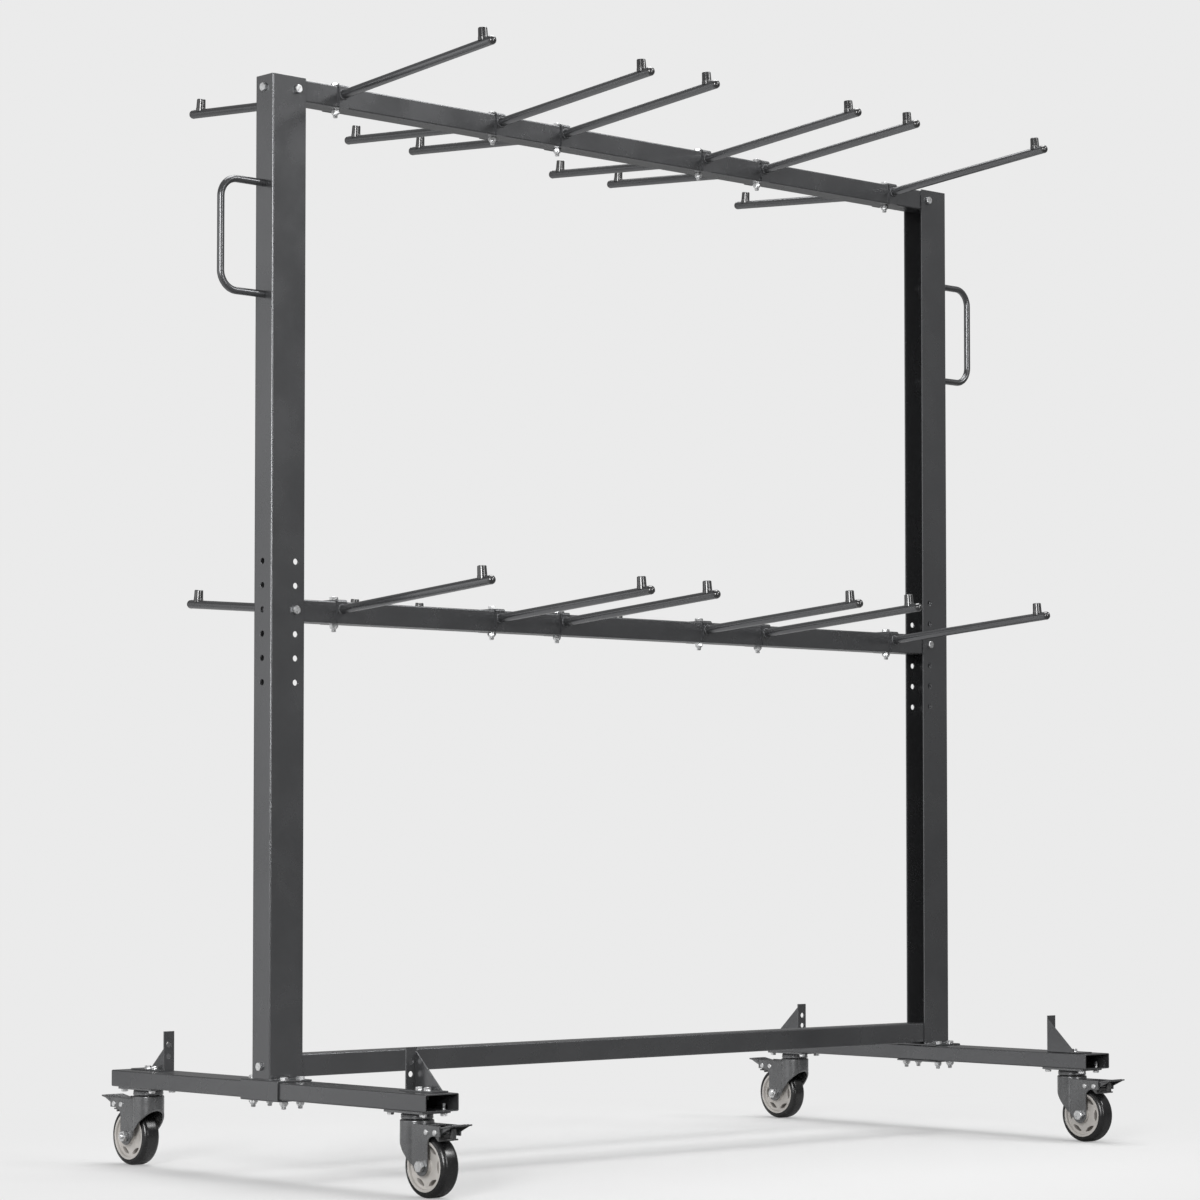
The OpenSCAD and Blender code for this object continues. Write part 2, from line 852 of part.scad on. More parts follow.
module flange_screws() {
    color(zinc) {
        for (side = [-1, 1])
            on_side(side)
                for (z = handle_leg_zs)
                    translate([-foot_span / 2 + post_sheet, 0, z])
                        rotate([0, 90, 0])
                            flange_screw(post_sheet + handle_thread_l - overrun);
        for (c = corners) {
            at_corner(c)
                for (p = bracket_screws)
                    translate([-bracket_x - p[0], -bracket_y - p[1], foot_top_z + bracket_t])
                        flange_screw(bracket_t + foot_wall + screw_proud);
            at_caster(c)
                for (p = plate_holes)
                    translate([p[0], p[1], plate_low_z])
                        rotate([180, 0, 0])
                            flange_screw(plate_t + foot_wall + screw_proud);
        }
    }
}

// King pin and balls of each swivel
module swivel_bearings() {
    color(zinc)
        for (c = corners)
            at_caster(c) {
                translate([0, 0, king_head_z])
                    cylinder(d = king_head_d, h = king_head_h);
                translate([0, 0, king_head_z])
                    cylinder(d = king_pin_d, h = caster_h - slip_gap - king_head_z);
                for (i = [0 : ball_count - 1])
                    rotate(i * 360 / ball_count)
                        translate([ball_ring_d / 2, 0, ball_z])
                            sphere(d = ball_d);
            }
}

module swivel_plate() {
    color(paint)
        difference() {
            union() {
                translate([0, 0, plate_low_z])
                    linear_extrude(plate_t)
                        round_rect(plate_w, plate_l, plate_corner_r);
                translate([0, 0, head_low_z])
                    cylinder(d = head_d, h = caster_h - head_low_z);
            }
            translate([0, 0, head_low_z - overrun])
                cylinder(d = head_d - 2 * head_wall, h = race_z - head_low_z + overrun);
            cylinder(d = king_pin_d + 2 * slip_gap, h = caster_h + overrun);
            for (p = plate_holes)
                translate([p[0], p[1], plate_low_z - overrun])
                    cylinder(d = screw_d + 2 * bolt_gap, h = plate_t + 2 * overrun);
        }
}

module fork_plan(d, w, reach) {
    circle(d = d);
    translate([-w / 2, -reach])
        square([w, reach]);
}

// Side view of the fork below its round head: cheeks, leg around the axle and arch over the tyre
module fork_side() {
    back = [-fork_back_d / 2, cheek_z - back_drop];
    difference() {
        polygon([
            back,
            [back[0], cheek_z],
            [fork_reach, cheek_z],
            [fork_reach, axle_z],
            axle,
            tangent_point(back, axle, boss_r)
        ]);
        translate([axle[0] + boss_r, bar_z - fork_reach]) {
            translate([arch_r, 0])
                square([fork_reach, fork_reach]);
            square([fork_reach, fork_reach - arch_r]);
            translate([arch_r, fork_reach - arch_r])
                circle(arch_r);
        }
    }
    translate(axle)
        circle(boss_r);
}

// Rivet through both cheeks, at a point of the side view
module cheek_rivet(p) {
    translate([0, -p[0], p[1]]) {
        along_x(rivet_d, fork_w);
        for (side = [-1, 1])
            translate([side * (fork_w / 2 + rivet_head_h / 2), 0, 0])
                along_x(rivet_head_d, rivet_head_h);
    }
}

module fork() {
    color(paint)
        difference() {
            union() {
                intersection() {
                    linear_extrude(cheek_z)
                        difference() {
                            fork_plan(fork_back_d, fork_w, fork_reach);
                            fork_plan(
                                fork_back_d - 2 * fork_sheet,
                                fork_w - 2 * fork_sheet,
                                fork_reach + overrun
                            );
                        }
                    side_extrude(fork_back_d + 2 * overrun)
                        fork_side();
                }
                translate([0, 0, cheek_z - fork_sheet])
                    linear_extrude(cheek_drop + fork_sheet)
                        difference() {
                            circle(d = fork_back_d);
                            circle(d = fork_back_d - 2 * fork_sheet);
                        }
                translate([0, 0, crown_z - crown_t])
                    cylinder(d = fork_back_d, h = crown_t);
                translate([-fork_in, -deck_end, cheek_z - fork_sheet])
                    cube([2 * fork_in, deck_end - deck_start, fork_sheet]);
                cheek_rivet(pivot);
                cheek_rivet(rear_rivet);
            }
            translate([0, 0, crown_z - crown_t - overrun])
                cylinder(d = king_pin_d + 2 * run_gap, h = crown_t + 2 * overrun);
            translate([0, -axle[0], axle[1]])
                along_x(axle_d + 2 * slip_gap, fork_w + 2 * overrun);
        }
}

// Bolt, nut and the sleeve on which the hub turns
module axle_set() {
    color(zinc)
        translate([0, -axle[0], axle[1]]) {
            translate([-fork_w / 2, 0, 0])
                rotate([0, 90, 0]) {
                    translate([0, 0, -axle_head_h])
                        hexagon(axle_af, axle_head_h);
                    translate([0, 0, -axle_head_h / 2])
                        cylinder(
                            d = axle_d,
                            h = fork_w + axle_nut_h + axle_head_h
                        );
                }
            translate([fork_w / 2, 0, 0])
                rotate([0, 90, 0])
                    difference() {
                        hexagon(axle_af, axle_nut_h);
                        translate([0, 0, -overrun])
                            cylinder(d = axle_d + 2 * thread_gap, h = axle_nut_h + 2 * overrun);
                    }
            difference() {
                along_x(axle_sleeve_d, 2 * fork_in);
                along_x(axle_d + 2 * slip_gap, fork_w);
            }
        }
}

// Turns a shape around the axle, with its profile drawn as radius and distance along X
module on_axle() {
    translate([0, -axle[0], axle[1]])
        rotate([0, 90, 0])
            children();
}

// Overlap of two circles, with its points up and down
module lens(w, l) {
    r = (w * w + l * l) / (4 * w);
    intersection() {
        translate([r - w / 2, 0])
            circle(r);
        translate([w / 2 - r, 0])
            circle(r);
    }
}

module wheel_hub() {
    bore_r = axle_sleeve_d / 2 + run_gap;
    rim_in_r = rim_d / 2 - rim_t;
    color(hub_grey)
        on_axle()
            difference() {
                rotate_extrude() {
                    translate([bore_r, -hub_half])
                        square([hub_boss_d / 2 - bore_r, 2 * hub_half]);
                    translate([bore_r, -disc_t / 2])
                        square([rim_d / 2 - bore_r, disc_t]);
                    translate([rim_in_r, -rim_half])
                        square([rim_t, 2 * rim_half]);
                }
                for (i = [0 : window_count - 1], face = [0, 1])
                    mirror([0, 0, face])
                        rotate((2 * i + 1) * 180 / window_count)
                            translate([window_ring_d / 2, 0, window_floor_t / 2])
                                linear_extrude(disc_t)
                                    lens(window_w, window_l);
            }
}

module tyre() {
    tread_r = wheel_d / 2;
    edge_r = tread_r - tyre_edge_r;
    color(black)
        on_axle()
            rotate_extrude() {
                if (edge_r > tyre_in_r)
                    translate([tyre_in_r, -wheel_w / 2])
                        square([edge_r - tyre_in_r, wheel_w]);
                translate([tyre_in_r, tyre_edge_r - wheel_w / 2])
                    square([tread_r - tyre_in_r, wheel_w - 2 * tyre_edge_r]);
                intersection() {
                    for (side = [-1, 1])
                        translate([edge_r, side * (wheel_w / 2 - tyre_edge_r)])
                            circle(tyre_edge_r);
                    translate([tyre_in_r, -wheel_w / 2])
                        square([tread_r, wheel_w]);
                }
            }
}

// Draws in the side view of the brake, with the pivot at zero
module at_pivot(w) {
    translate([0, -pivot[0], pivot[1]])
        side_extrude(w)
            children();
}

// Strip of the pedal's plate between two distances from the pivot
module pedal_strip(from, to) {
    polygon([
        [from, pedal_line(from)],
        [to, pedal_line(to)],
        [to, pedal_line(to) - pedal_t],
        [from, pedal_line(from) - pedal_t]
    ]);
}

// Narrow neck with two ears between the cheeks, and a wide front plate to step on
module brake_pedal() {
    color(paint)
        difference() {
            union() {
                at_pivot(pedal_neck_w)
                    pedal_strip(-pedal_back, pedal_front);
                at_pivot(pedal_w)
                    pedal_strip(pedal_step, pedal_front);
                for (side = [-1, 1])
                    translate([side * (pedal_neck_w - pedal_t) / 2, 0, 0])
                        at_pivot(pedal_t) {
                            circle(pedal_ear_r);
                            polygon([
                                [-pedal_back, pedal_line(-pedal_back)],
                                [pedal_front, pedal_line(pedal_front)],
                                [pedal_front, pedal_line(pedal_front) - pedal_t],
                                [0, -pedal_ear_r],
                                [-pedal_back, pedal_line(-pedal_back) - pedal_t]
                            ]);
                        }
            }
            translate([0, -pivot[0], pivot[1]])
                along_x(rivet_d + 2 * run_gap, pedal_w);
        }
}

// Wedge between the ears, its face concentric with the tyre, and a tongue in front of it
module brake_pad() {
    color(black) {
        at_pivot(pad_w)
            difference() {
                translate([-pad_back, -pad_low])
                    square([pad_back + pad_front, pad_low + pad_top]);
                translate(axle - pivot)
                    circle(wheel_d / 2 + pad_gap);
            }
        at_pivot(tongue_w)
            translate([0, tongue_t - pad_low])
                square([tongue_front, tongue_t]);
    }
}

post(-1);  // left_post
post(1);  // right_post
foot_tube(-1);  // left_foot_tube
foot_tube(1);  // right_foot_tube
beam(bottom_beam_z, true, false, false);  // bottom_beam
beam(middle_beam_z, false, true, true);  // middle_beam
beam(top_beam_z, true, true, true);  // top_beam
for (i = [0 : len(arm_xs) - 1]) {
    chair_arm(arm_xs[i], top_beam_z);
    chair_arm(arm_xs[i], middle_beam_z);
}
arm_end_caps();
arm_stop_studs();
handle(-1);  // left_handle
handle(1);  // right_handle
arm_bolts();
frame_bolts();
hex_nuts();
flange_screws();
swivel_bearings();
for (c = corners) {
    stop_bracket(c);
    at_caster(c) swivel_plate();
    at_caster(c) fork();
    at_caster(c) axle_set();
    at_caster(c) wheel_hub();
    at_caster(c) tyre();
    at_caster(c) brake_pedal();
    at_caster(c) brake_pad();
}
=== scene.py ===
import json
import math
import bmesh
import bpy
from mathutils import Matrix, Quaternion, Vector

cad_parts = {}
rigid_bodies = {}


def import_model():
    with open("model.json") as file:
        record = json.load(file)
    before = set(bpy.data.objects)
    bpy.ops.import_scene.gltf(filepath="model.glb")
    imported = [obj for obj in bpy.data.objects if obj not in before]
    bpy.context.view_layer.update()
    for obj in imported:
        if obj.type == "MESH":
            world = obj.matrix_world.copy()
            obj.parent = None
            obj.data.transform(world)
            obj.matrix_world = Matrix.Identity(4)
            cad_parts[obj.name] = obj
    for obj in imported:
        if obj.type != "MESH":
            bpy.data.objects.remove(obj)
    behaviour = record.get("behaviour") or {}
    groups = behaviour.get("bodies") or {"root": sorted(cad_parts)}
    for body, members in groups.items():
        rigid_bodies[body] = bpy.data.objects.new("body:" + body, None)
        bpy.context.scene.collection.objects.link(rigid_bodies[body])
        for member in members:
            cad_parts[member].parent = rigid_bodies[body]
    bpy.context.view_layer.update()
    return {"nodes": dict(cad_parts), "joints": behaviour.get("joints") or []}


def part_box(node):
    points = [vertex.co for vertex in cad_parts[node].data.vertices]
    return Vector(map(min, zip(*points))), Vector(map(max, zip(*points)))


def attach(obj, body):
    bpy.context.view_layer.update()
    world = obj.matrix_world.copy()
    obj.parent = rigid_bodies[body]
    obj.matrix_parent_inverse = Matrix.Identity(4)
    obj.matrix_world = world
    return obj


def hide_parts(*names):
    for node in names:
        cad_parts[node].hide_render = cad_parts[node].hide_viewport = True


for leftover in list(bpy.data.objects):
    bpy.data.objects.remove(leftover)
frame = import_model()
scene = bpy.context.scene
mm = 0.001
hair = 0.01 * mm  # places closer than this are the same
weldGap = 0.001 * mm  # vertices closer than this are merged
flatAngle = 0.5  # faces that meet flatter than this are joined, in degrees
easeSteps = 2
bendSteps = 4
up = Vector((0, 0, 1))
corners = {"front_left": (-1, -1), "front_right": (1, -1), "rear_left": (-1, 1), "rear_right": (1, 1)}
sides = {"left": -1, "right": 1}
print("frame loaded")


# Shader nodes
def addNode(tree, kind, values=None, **settings):
    node = tree.nodes.new(kind)
    for key, value in settings.items():
        setattr(node, key, value)
    for key, value in (values or {}).items():
        node.inputs[key].default_value = value
    return node


def newGroup(name, inputs, outputs):
    tree = bpy.data.node_groups.new(name, "ShaderNodeTree")
    for label, kind, value in inputs:
        socket = tree.interface.new_socket(label, in_out="INPUT", socket_type="NodeSocket" + kind)
        socket.default_value = value
    for label, kind in outputs:
        tree.interface.new_socket(label, in_out="OUTPUT", socket_type="NodeSocket" + kind)
    return tree, tree.nodes.new("NodeGroupInput"), tree.nodes.new("NodeGroupOutput")


def mathNode(tree, operation, first, second):
    node = addNode(tree, "ShaderNodeMath", operation=operation)
    for socket, value in zip(node.inputs, (first, second)):
        if isinstance(value, (int, float)):
            socket.default_value = value
        else:
            tree.links.new(value, socket)
    return node.outputs[0]


def spread(tree, value, fromLow, fromHigh, toLow=0.0, toHigh=1.0):
    node = addNode(tree, "ShaderNodeMapRange", interpolation_type="SMOOTHSTEP")
    for label, entry in (("Value", value), ("From Min", fromLow), ("From Max", fromHigh),
                         ("To Min", toLow), ("To Max", toHigh)):
        if isinstance(entry, (int, float)):
            node.inputs[label].default_value = entry
        else:
            tree.links.new(entry, node.inputs[label])
    return node.outputs["Result"]


def noiseAt(tree, scale, detail, stretch=None):
    place = addNode(tree, "ShaderNodeTexCoord").outputs["Object"]
    if stretch:
        mapping = addNode(tree, "ShaderNodeMapping", {"Scale": stretch})
        tree.links.new(place, mapping.inputs["Vector"])
        place = mapping.outputs["Vector"]
    noise = addNode(tree, "ShaderNodeTexNoise", {"Detail": detail, "Roughness": 0.55})
    tree.links.new(place, noise.inputs["Vector"])
    if isinstance(scale, (int, float)):
        noise.inputs["Scale"].default_value = scale
    else:
        tree.links.new(scale, noise.inputs["Scale"])
    return noise.outputs["Fac"]


# Slow drift of a colour over a surface
toneDrift, start, end = newGroup(
    "toneDrift",
    [("Colour", "Color", (0.5, 0.5, 0.5, 1)), ("Amount", "Float", 0.1), ("Scale", "Float", 4.0)],
    [("Colour", "Color")])
low = mathNode(toneDrift, "SUBTRACT", 1.0, start.outputs["Amount"])
high = mathNode(toneDrift, "ADD", 1.0, start.outputs["Amount"])
tone = spread(toneDrift, noiseAt(toneDrift, start.outputs["Scale"], 5.0), 0.28, 0.72, low, high)
scaled = addNode(toneDrift, "ShaderNodeVectorMath", operation="SCALE")
toneDrift.links.new(start.outputs["Colour"], scaled.inputs[0])
toneDrift.links.new(tone, scaled.inputs["Scale"])
toneDrift.links.new(scaled.outputs["Vector"], end.inputs["Colour"])

# Height of a fine grain over a coarser ripple
surfaceGrain, start, end = newGroup(
    "surfaceGrain", [("Fine", "Float", 900.0), ("Coarse", "Float", 250.0)], [("Height", "Float")])
fine = noiseAt(surfaceGrain, start.outputs["Fine"], 2.0)
coarse = noiseAt(surfaceGrain, start.outputs["Coarse"], 1.0)
height = mathNode(surfaceGrain, "ADD", fine, mathNode(surfaceGrain, "MULTIPLY", coarse, 1.5))
surfaceGrain.links.new(height, end.inputs["Height"])

# Worn edges, from the attribute that bevelled edges carry
edgeRub, start, end = newGroup(
    "edgeRub", [("Amount", "Float", 0.5), ("Scale", "Float", 60.0)], [("Mask", "Float")])
rubbed = addNode(edgeRub, "ShaderNodeAttribute", attribute_name="rub").outputs["Fac"]
patch = spread(edgeRub, noiseAt(edgeRub, start.outputs["Scale"], 4.0), 0.42, 0.68)
mask = mathNode(edgeRub, "MULTIPLY", mathNode(edgeRub, "MULTIPLY", rubbed, patch), start.outputs["Amount"])
edgeRub.links.new(mask, end.inputs["Mask"])

# Dust that lies thicker near the floor, and painted shade in hollows that carry the attribute
dustAndRecessShade, start, end = newGroup(
    "dustAndRecessShade",
    [("Amount", "Float", 0.2), ("Reach", "Float", 0.4), ("Grime", "Float", 0.5)],
    [("Mask", "Float")])
place = addNode(dustAndRecessShade, "ShaderNodeTexCoord").outputs["Object"]
split = addNode(dustAndRecessShade, "ShaderNodeSeparateXYZ")
dustAndRecessShade.links.new(place, split.inputs[0])
fall = spread(dustAndRecessShade, split.outputs["Z"], 0.0, start.outputs["Reach"], 1.0, 0.0)
cloud = spread(dustAndRecessShade, noiseAt(dustAndRecessShade, 38.0, 6.0), 0.35, 0.75, 0.15, 1.0)
dust = mathNode(dustAndRecessShade, "MULTIPLY", mathNode(dustAndRecessShade, "MULTIPLY", fall, cloud), start.outputs["Amount"])
shadedHollow = addNode(dustAndRecessShade, "ShaderNodeAttribute", attribute_name="recessShade").outputs["Fac"]
mask = mathNode(dustAndRecessShade, "MAXIMUM", dust, mathNode(dustAndRecessShade, "MULTIPLY", shadedHollow, start.outputs["Grime"]))
dustAndRecessShade.links.new(mask, end.inputs["Mask"])

# Fine handling scratches that run across a surface
fineScratch, start, end = newGroup(
    "fineScratch", [("Amount", "Float", 0.2), ("Scale", "Float", 90.0)], [("Mask", "Float")])
flat = spread(fineScratch, noiseAt(fineScratch, start.outputs["Scale"], 2.0, (1.0, 22.0, 9.0)), 0.7, 0.76)
steep = spread(fineScratch, noiseAt(fineScratch, start.outputs["Scale"], 2.0, (16.0, 26.0, 1.0)), 0.7, 0.76)
both = mathNode(fineScratch, "MAXIMUM", flat, steep)
fineScratch.links.new(mathNode(fineScratch, "MULTIPLY", both, start.outputs["Amount"]), end.inputs["Mask"])


def useGroup(tree, group, **values):
    node = tree.nodes.new("ShaderNodeGroup")
    node.node_tree = group
    for key, value in values.items():
        node.inputs[key].default_value = value
    return node


def mixColour(tree, mask, first, second):
    node = addNode(tree, "ShaderNodeMix", data_type="RGBA")
    tree.links.new(mask, node.inputs["Factor"])
    tree.links.new(first, node.inputs["A"])
    node.inputs["B"].default_value = (*second, 1)
    return node.outputs["Result"]


# What all finishes share
finishSpec = {"grainDepth": 0.4 * mm, "coatRough": 0.2, "dustRough": 0.25}


def makeFinish(spec):
    material = bpy.data.materials.new(spec["name"])
    material.use_nodes = True
    tree = material.node_tree
    shader = tree.nodes["Principled BSDF"]
    drift = useGroup(tree, toneDrift, Colour=(*spec["colour"], 1), Amount=spec["drift"],
                     Scale=spec["driftScale"]).outputs["Colour"]
    rub = useGroup(tree, edgeRub, Amount=spec["rub"], Scale=spec["rubScale"]).outputs["Mask"]
    scratch = useGroup(tree, fineScratch, Amount=spec["scratch"],
                       Scale=spec["scratchScale"]).outputs["Mask"]
    dustAndShade = useGroup(tree, dustAndRecessShade, Amount=spec["dust"], Reach=spec["dustReach"],
                     Grime=spec["recessShade"]).outputs["Mask"]
    worn = mixColour(tree, mathNode(tree, "MAXIMUM", rub, scratch), drift, spec["rubColour"])
    # Dust and painted recess shade both take the dust colour
    colour = mixColour(tree, dustAndShade, worn, spec["dustAndShadeColour"])
    tree.links.new(colour, shader.inputs["Base Color"])
    base = spread(tree, noiseAt(tree, spec["driftScale"] * 4, 5.0), 0.3, 0.7,
                  spec["rough"] - spec["roughDrift"], spec["rough"] + spec["roughDrift"])
    rough = mathNode(tree, "ADD", base, mathNode(tree, "MULTIPLY", dustAndShade, finishSpec["dustRough"]))
    tree.links.new(rough, shader.inputs["Roughness"])
    grain = useGroup(tree, surfaceGrain, Fine=spec["fine"], Coarse=spec["coarse"])
    bump = addNode(tree, "ShaderNodeBump", {"Strength": spec["bump"], "Distance": finishSpec["grainDepth"]})
    tree.links.new(grain.outputs["Height"], bump.inputs["Height"])
    tree.links.new(bump.outputs["Normal"], shader.inputs["Normal"])
    shader.inputs["Metallic"].default_value = spec["metallic"]
    shader.inputs["Specular IOR Level"].default_value = spec["specular"]
    shader.inputs["Coat Weight"].default_value = spec["coat"]
    shader.inputs["Coat Roughness"].default_value = finishSpec["coatRough"]
    return material


framePaint = makeFinish({
    "name": "framePaint", "colour": (0.145, 0.147, 0.152), "drift": 0.07, "driftScale": 3.0,
    "specular": 0.8, "rough": 0.26, "roughDrift": 0.03, "metallic": 0.75, "coat": 0.0,
    "fine": 800.0, "coarse": 260.0, "bump": 0.004,
    "rub": 0.12, "rubScale": 70.0, "rubColour": (0.27, 0.27, 0.275), "scratch": 0.08, "scratchScale": 26.0,
    "dust": 0.06, "dustReach": 0.35, "recessShade": 0.5, "dustAndShadeColour": (0.2, 0.19, 0.175)})
forkPaint = makeFinish({
    "name": "forkPaint", "colour": (0.185, 0.187, 0.191), "drift": 0.08, "driftScale": 22.0,
    "specular": 0.7, "rough": 0.27, "roughDrift": 0.04, "metallic": 0.75, "coat": 0.0,
    "fine": 900.0, "coarse": 300.0, "bump": 0.005,
    "rub": 0.2, "rubScale": 160.0, "rubColour": (0.27, 0.27, 0.27), "scratch": 0.1, "scratchScale": 60.0,
    "dust": 0.05, "dustReach": 0.14, "recessShade": 0.5, "dustAndShadeColour": (0.25, 0.235, 0.21)})
zincPlate = makeFinish({
    "name": "zincPlate", "colour": (0.82, 0.825, 0.83), "drift": 0.16, "driftScale": 90.0,
    "specular": 0.5, "rough": 0.32, "roughDrift": 0.08, "metallic": 1.0, "coat": 0.0,
    "fine": 2200.0, "coarse": 700.0, "bump": 0.12,
    "rub": 0.3, "rubScale": 260.0, "rubColour": (0.9, 0.9, 0.9), "scratch": 0.2, "scratchScale": 150.0,
    "dust": 0.1, "dustReach": 0.2, "recessShade": 0.5, "dustAndShadeColour": (0.22, 0.2, 0.18)})
blackPlastic = makeFinish({
    "name": "blackPlastic", "colour": (0.017, 0.017, 0.018), "drift": 0.15, "driftScale": 40.0,
    "specular": 1.0, "rough": 0.22, "roughDrift": 0.03, "metallic": 0.0, "coat": 1.0,
    "fine": 1200.0, "coarse": 300.0, "bump": 0.002,
    "rub": 0.3, "rubScale": 200.0, "rubColour": (0.06, 0.06, 0.06), "scratch": 0.08, "scratchScale": 110.0,
    "dust": 0.15, "dustReach": 0.2, "recessShade": 0.5, "dustAndShadeColour": (0.16, 0.15, 0.14)})
# The hub's dust colour is dark, as it also paints the shade in its windows
hubPlastic = makeFinish({
    "name": "hubPlastic", "colour": (0.6, 0.575, 0.545), "drift": 0.07, "driftScale": 30.0,
    "specular": 0.45, "rough": 0.34, "roughDrift": 0.06, "metallic": 0.0, "coat": 0.05,
    "fine": 1900.0, "coarse": 600.0, "bump": 0.08,
    "rub": 0.2, "rubScale": 150.0, "rubColour": (0.72, 0.69, 0.65), "scratch": 0.12, "scratchScale": 80.0,
    "dust": 0.08, "dustReach": 0.09, "recessShade": 0.7, "dustAndShadeColour": (0.085, 0.07, 0.056)})
tyreRubber = makeFinish({
    "name": "tyreRubber", "colour": (0.009, 0.009, 0.0095), "drift": 0.2, "driftScale": 35.0,
    "specular": 0.7, "rough": 0.24, "roughDrift": 0.05, "metallic": 0.0, "coat": 0.0,
    "fine": 1700.0, "coarse": 500.0, "bump": 0.05,
    "rub": 0.3, "rubScale": 120.0, "rubColour": (0.07, 0.07, 0.068), "scratch": 0.3, "scratchScale": 70.0,
    "dust": 0.12, "dustReach": 0.05, "recessShade": 0.6, "dustAndShadeColour": (0.1, 0.095, 0.09)})
print("finishes made")


# Mesh building
def newShape():
    bm = bmesh.new()
    bm.faces.layers.float.new("rub")
    # This vertex layer marks where painted recess shade goes
    bm.verts.layers.float.new("recessShade")
    return bm


def joinRings(bm, first, second):
    count = len(first)
    for i in range(count):
        j = (i + 1) % count
        bm.faces.new((first[i], first[j], second[j], second[i]))


def addFan(bm, tip, ring):
    for i in range(len(ring)):
        bm.faces.new((tip, ring[i], ring[(i + 1) % len(ring)]))


# Turns a profile of radius and height around the Z axis of a place
def addLathe(bm, profile, place, count):
    rings = []
    for radius, level in profile:
        if radius < hair:
            rings.append([bm.verts.new(place @ Vector((0, 0, level)))])
            continue
        turns = [2 * math.pi * i / count for i in range(count)]
        rings.append([bm.verts.new(place @ Vector((radius * math.cos(a), radius * math.sin(a), level)))
                      for a in turns])
    for first, second in zip(rings, rings[1:]):
        if len(first) == 1:
            addFan(bm, first[0], second)
        elif len(second) == 1:
            addFan(bm, second[0], first)
        else:
            joinRings(bm, first, second)


# Rounds the corners of a path of flat points, each by its own radius
def filleted(points, radii, steps=5):
    path = []
    for i, (point, radius) in enumerate(zip(points, radii)):
        here = Vector(point)
        if radius <= 0:
            path.append(here)
            continue
        back = (Vector(points[i - 1]) - here).normalized()
        ahead = (Vector(points[(i + 1) % len(points)]) - here).normalized()
        half = back.angle(ahead) / 2
        centre = here + (back + ahead).normalized() * radius / math.sin(half)
        first = here + back * radius / math.tan(half) - centre
        last = here + ahead * radius / math.tan(half) - centre
        for k in range(steps + 1):
            share = k / steps
            path.append(centre + (first * (1 - share) + last * share).normalized() * radius)
    return path


# Extrudes a flat outline to both sides along the Z axis of a place
def addPrism(bm, outline, place, depth):
    rings = [[bm.verts.new(place @ Vector((p[0], p[1], level))) for p in outline]
             for level in (-depth / 2, depth / 2)]
    joinRings(bm, rings[0], rings[1])
    bm.faces.new(rings[0])
    bm.faces.new(rings[1])


def bevelEdges(bm, edges, width, segments, mark=True):
    if not edges:
        return
    made = bmesh.ops.bevel(bm, geom=edges, offset=width, offset_type="OFFSET", segments=segments,
                           profile=0.5, affect="EDGES", clamp_overlap=False)
    rub = bm.faces.layers.float["rub"]
    for face in made["faces"]:
        face[rub] = 1.0 if mark else 0.0


def sharpEdges(bm, limit=35):
    return [e for e in bm.edges if e.is_manifold and e.calc_face_angle(0) > math.radians(limit)]


def finishMesh(name, bm, limit=45):
    bmesh.ops.recalc_face_normals(bm, faces=bm.faces)
    mesh = bpy.data.meshes.new(name)
    bm.to_mesh(mesh)
    bm.free()
    spare = mesh.attributes.get("custom_normal")
    if spare:
        mesh.attributes.remove(spare)
    mesh.shade_smooth()
    mesh.set_sharp_from_angle(angle=math.radians(limit))
    return mesh


def bakeHolder(holder):
    graph = bpy.context.evaluated_depsgraph_get()
    mesh = bpy.data.meshes.new_from_object(
        holder.evaluated_get(graph), preserve_all_data_layers=True, depsgraph=graph)
    holder.modifiers.clear()
    bpy.data.objects.remove(holder)
    return mesh


def holderFor(name, mesh):
    holder = bpy.data.objects.new(name, mesh)
    scene.collection.objects.link(holder)
    return holder


# Flat faces keep their own normals beside their rounded edges
def weighted(name, mesh):
    holder = holderFor(name + "Holder", mesh)
    modifier = holder.modifiers.new("weights", "WEIGHTED_NORMAL")
    modifier.keep_sharp = True
    return bakeHolder(holder)


def addPiece(name, mesh, finish, body, nodes=()):
    mesh.name = name
    if not mesh.materials:
        mesh.materials.append(finish)
    piece = holderFor(name, mesh)
    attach(piece, body)
    if nodes:
        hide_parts(*nodes)


# Copy of a CAD node with its bends rounded and its edges eased
def softened(node, width, bends=(), extra=None):
    bm = newShape()
    bm.from_mesh(frame["nodes"][node].data)
    bmesh.ops.remove_doubles(bm, verts=bm.verts, dist=weldGap)
    bmesh.ops.dissolve_limit(bm, angle_limit=math.radians(flatAngle), verts=bm.verts, edges=bm.edges)
    for chosen, bendWidth, bendSegments in bends:
        bevelEdges(bm, [e for e in sharpEdges(bm) if chosen(e)], bendWidth, bendSegments, False)
    bevelEdges(bm, sharpEdges(bm), width, easeSteps)
    if extra:
        extra(bm)
    return weighted(node, finishMesh(node, bm))


